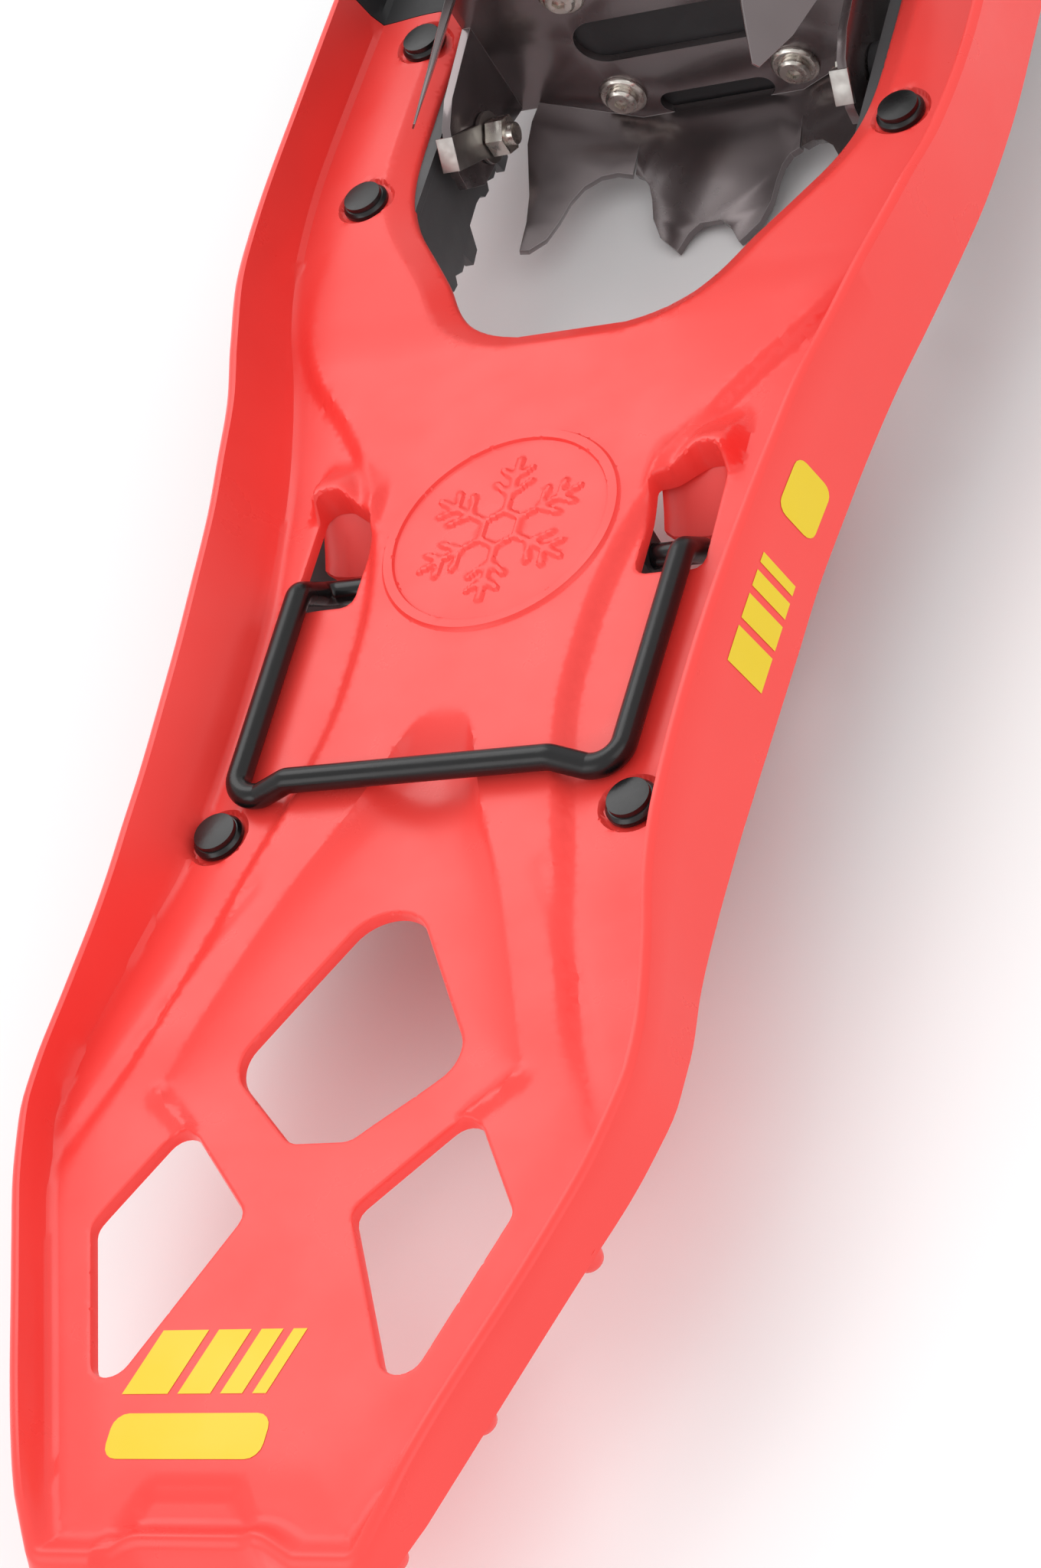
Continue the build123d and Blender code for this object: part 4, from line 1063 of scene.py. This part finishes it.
def stitch_line(name, places):
    """Short thread stitches along a line of (point, outward direction, hidden) places."""
    vertices, faces = [], []
    for (a, out, hidden), (b, _, next_hidden) in zip(places[::2], places[1::2]):
        if hidden or next_hidden:
            continue
        along = (b - a).normalized()
        side = along.cross(out).normalized()
        base = len(vertices)
        for s in (-1, 1):
            for t in (-1, 1):
                for rise, taper in ((-0.4, 1.0), (1.0, 0.7)):
                    flat = along * s * THREAD_LONG * taper / 2 + side * t * THREAD_WIDE * taper / 2
                    vertices.append((a + b) / 2 + (flat + out * rise * THREAD_HIGH) * MM)
        faces += [tuple(base + i for i in face) for face in BOX_FACES]
    add_object(mesh_of(name, vertices, faces), "thread", "binding")


def wing_limits(u):
    """The wing's heel and toe edges at a share of its way up, with rounded corners and a waist."""
    inset = 13.0 * (1 - math.sqrt(max(0.0, 1 - max(0.0, (u - 0.80) / 0.20) ** 2)))
    toe_round = 5.0 * (1 - math.sqrt(max(0.0, 1 - max(0.0, (0.1 - u) / 0.1) ** 2)))
    waist = 3.0 * math.sin(math.pi * u)
    return -69.8 + 9.0 * u * u + inset * 0.9 + toe_round + waist, 21.8 - inset - toe_round - waist * 0.4


def wing_radius(gap, y, face_side):
    """Distance from the arch's axis: a pad that closes at its edge, with a bound rim and a quilted face."""
    body = PAD_HALF * math.sqrt(max(0.0, 1 - (1 - min(gap / 1.5, 1.0)) ** 2))
    rim = 0.32 * float(smoothstep((BINDING_EDGE - gap) / 0.7)) * float(smoothstep(gap / 1.2))
    quilt = 0.16 * math.cos(y * 0.42) * float(smoothstep((gap - 6) / 4))
    return ARCH_R + WING_THICK / 2 + face_side * body + (rim + quilt if face_side > 0 else 0.0)


def make_wing(name, start, end):
    """A padded fabric wing with a bound, stitched edge, round the side of the foot."""
    arc = abs(math.radians(end - start)) * ARCH_R
    index = {}
    vertices, faces = [], []
    for face_side in (1, -1):
        for i in range(WING_ACROSS + 1):
            u = i / WING_ACROSS
            low, high = wing_limits(min(u, 0.9995))
            for j in range(WING_ALONG + 1):
                y = low + (high - low) * (j / WING_ALONG)
                gap = min(u * arc, (1 - u) * arc, y - low, high - y)
                index[face_side, i, j] = len(vertices)
                vertices.append(arch_point(wing_radius(gap, y, face_side), start + (end - start) * u, y))
    for i in range(WING_ACROSS):
        for j in range(WING_ALONG):
            corners = ((i, j), (i + 1, j), (i + 1, j + 1), (i, j + 1))
            faces.append([index[(1, *corner)] for corner in corners])
            faces.append([index[(-1, *corner)] for corner in (corners[0], *corners[:0:-1])])
    mesh = mesh_of(name + "_padding", vertices, faces)
    face_outwards(mesh, 1e-5)
    wing = add_object(mesh, "harness_fabric", "binding", name, smooth_angle=70)
    outer = ARCH_R + WING_THICK / 2 + PAD_HALF + 0.36
    for suffix, toe_end in (("_stitching", False), ("_stitching_rear", True)):
        seam = []
        for u in np.linspace(4.4 / arc, 0.86, STITCHES):
            low, high = wing_limits(u)
            y = high - SEAM_IN if toe_end else low + SEAM_IN
            angle = start + (end - start) * u
            outward = (arch_point(outer + 1, angle, y) - arch_point(outer, angle, y)).normalized()
            seam.append((arch_point(outer, angle, y), outward, not toe_end and meets_strap(outer, angle)))
        stitch_line(name + suffix, seam[::-1] if toe_end else seam)


# ---- moulded and metal details
CLEATS = [(66.0, -192.0), (51.5, -229.0), (40.0, -259.5), (-24.0, -262.0), (-40.0, -259.5), (-51.5, -229.0),
          (-66.0, -192.0)]
CLEAT_PROFILE = ((3.4, -8.6), (3.3, -12.0), (3.0, -13.4), (2.2, -14.3), (0.9, -14.6))
CLEAT_SIDES = 24
THROAT_LINE = [(19.0, -4.6), (16.0, -7.4), (12.0, -10.8), (8.5, -13.4), (5.0, -15.6)]
THROAT_CURL = [(36.2, 3.2), (37.6, 0.8), (41.0, 0.0), (46.0, -0.3), (51.0, 0.0), (54.4, 0.8), (55.8, 3.2)]
THROAT_THICK = 1.6


def closed_skin(rows):
    """Vertices and faces of a solid, from rows of points that each run once round it."""
    wide = len(rows[0])
    faces = []
    for i in range(len(rows) - 1):
        for j in range(wide):
            k = (j + 1) % wide
            faces.append((i * wide + j, i * wide + k, (i + 1) * wide + k, (i + 1) * wide + j))
    faces += [tuple(range(wide)), tuple(reversed(range((len(rows) - 1) * wide, len(rows) * wide)))]
    return [point for row in rows for point in row], faces


def make_cleats():
    """Small moulded cleats that stand under the tail's edge."""
    turns = [2 * math.pi * k / CLEAT_SIDES for k in range(CLEAT_SIDES)]
    vertices, faces = [], []
    for x, y in CLEATS:
        points, skin = closed_skin([[at(x + radius * math.cos(t), y + radius * math.sin(t), z) for t in turns]
                                    for radius, z in CLEAT_PROFILE])
        faces += [tuple(len(vertices) + i for i in face) for face in skin]
        vertices += points
    mesh = mesh_of("tail_cleats", vertices, faces)
    face_outwards(mesh)
    add_object(mesh, "red_plastic", "deck", smooth_angle=60)


def make_throats():
    """The moulded throat under each hood, in front of the heel lift's pin."""
    for name, side in (("slot_throat_right", 1), ("slot_throat_left", -1)):
        rows = []
        for y, z in THROAT_LINE:
            top = [at(side * x, y, z + lift) for x, lift in THROAT_CURL]
            low = [at(side * x, y, z + lift - THROAT_THICK) for x, lift in reversed(THROAT_CURL)]
            rows.append(top + low)
        mesh = mesh_of(name, *closed_skin(rows))
        face_outwards(mesh)
        add_object(mesh, "red_plastic", "deck", smooth_angle=50)


SHEET = 2.5
BLADE_START = np.array([57.5, -30.0])
BLADE_END = np.array([40.0, -53.0])
BLADE_ALONG = (BLADE_END - BLADE_START) / np.linalg.norm(BLADE_END - BLADE_START)
BLADE_INWARD = np.array([BLADE_ALONG[1], -BLADE_ALONG[0]])
BEHIND_EARS = -27.0
TAPER_TOP = 14.0
TAPER_LENGTH = 48.0
TIP_SHARE = 0.2


def sharpen_blades(piece):
    """Thin the crampon's two rear blades towards their tips. The CAD keeps them at full thickness."""
    hinge = at(0, HINGE_Y, HINGE_Z)
    for vertex in piece.data.vertices:
        place = (vertex.co - hinge) / MM
        y = math.cos(TILT) * place.y - math.sin(TILT) * place.z
        z = math.sin(TILT) * place.y + math.cos(TILT) * place.z
        side = math.copysign(1.0, place.x)
        offset = float((np.array([abs(place.x), y]) - BLADE_START) @ BLADE_INWARD) - SHEET / 2
        if z > TAPER_TOP or y > BEHIND_EARS or abs(offset) > SHEET:
            continue
        share = 1.0 - (1.0 - TIP_SHARE) * float(smoothstep((TAPER_TOP - z) / TAPER_LENGTH))
        shift = BLADE_INWARD * offset * (share - 1.0)
        vertex.co = bound(place.x + side * shift[0], y + shift[1], z)


def make_hard_parts():
    """Every moulded and metal piece, whose CAD shape is right once its edges are rounded."""
    soften("deck_studs", "stud_plastic", 0.3)
    for name in ("left_rail", "right_rail"):
        # The rails' and crampon's bevel faces take a lighter metal: a painted highlight on their edges.
        soften(name, "rail_steel", 0.25, edge_material="painted_edge_highlight")
    sharpen_blades(soften("toe_crampon", "coated_steel", 0.3, edge_material="painted_edge_highlight"))
    soften("heel_lift_bail", "powder_black", 0.2)
    for name in ("bail_retainer_left", "bail_retainer_right", "hinge_bushes"):
        soften(name, "black_plastic", 0.3)
    soften("lock_washers", "zinc", 0.12)
    for name in ("screw_washers", "crampon_screws", "hinge_bolts", "hinge_nuts", "stud_collars",
                 "footbed_nuts", "forefoot_ratchet_pin", "instep_ratchet_pin", "forefoot_rivets",
                 "instep_rivets", "heel_strap_rivets"):
        soften(name, "nickel", 0.12)
    soften("footbed", "black_plastic", 0.8)
    soften("footbed_grip", "foam", 0.5)
    for name in ("forefoot", "instep"):
        soften(name + "_ratchet_base", "black_plastic", 0.5)
        soften(name + "_ratchet_lever", "red_lever", 0.7)
        soften(name + "_strap", "strap_rubber", 0.5)
    soften("heel_strap", "strap_rubber", 0.6)
    pad = soften("heel_pad", "foam", 2.0, 4)


make_materials()
make_stage()
make_camera()
make_decks()
make_prints()
make_cleats()
make_throats()
make_hard_parts()
make_wing("wing_right", -10.9, 58.0)
make_wing("wing_left", 190.9, 122.0)
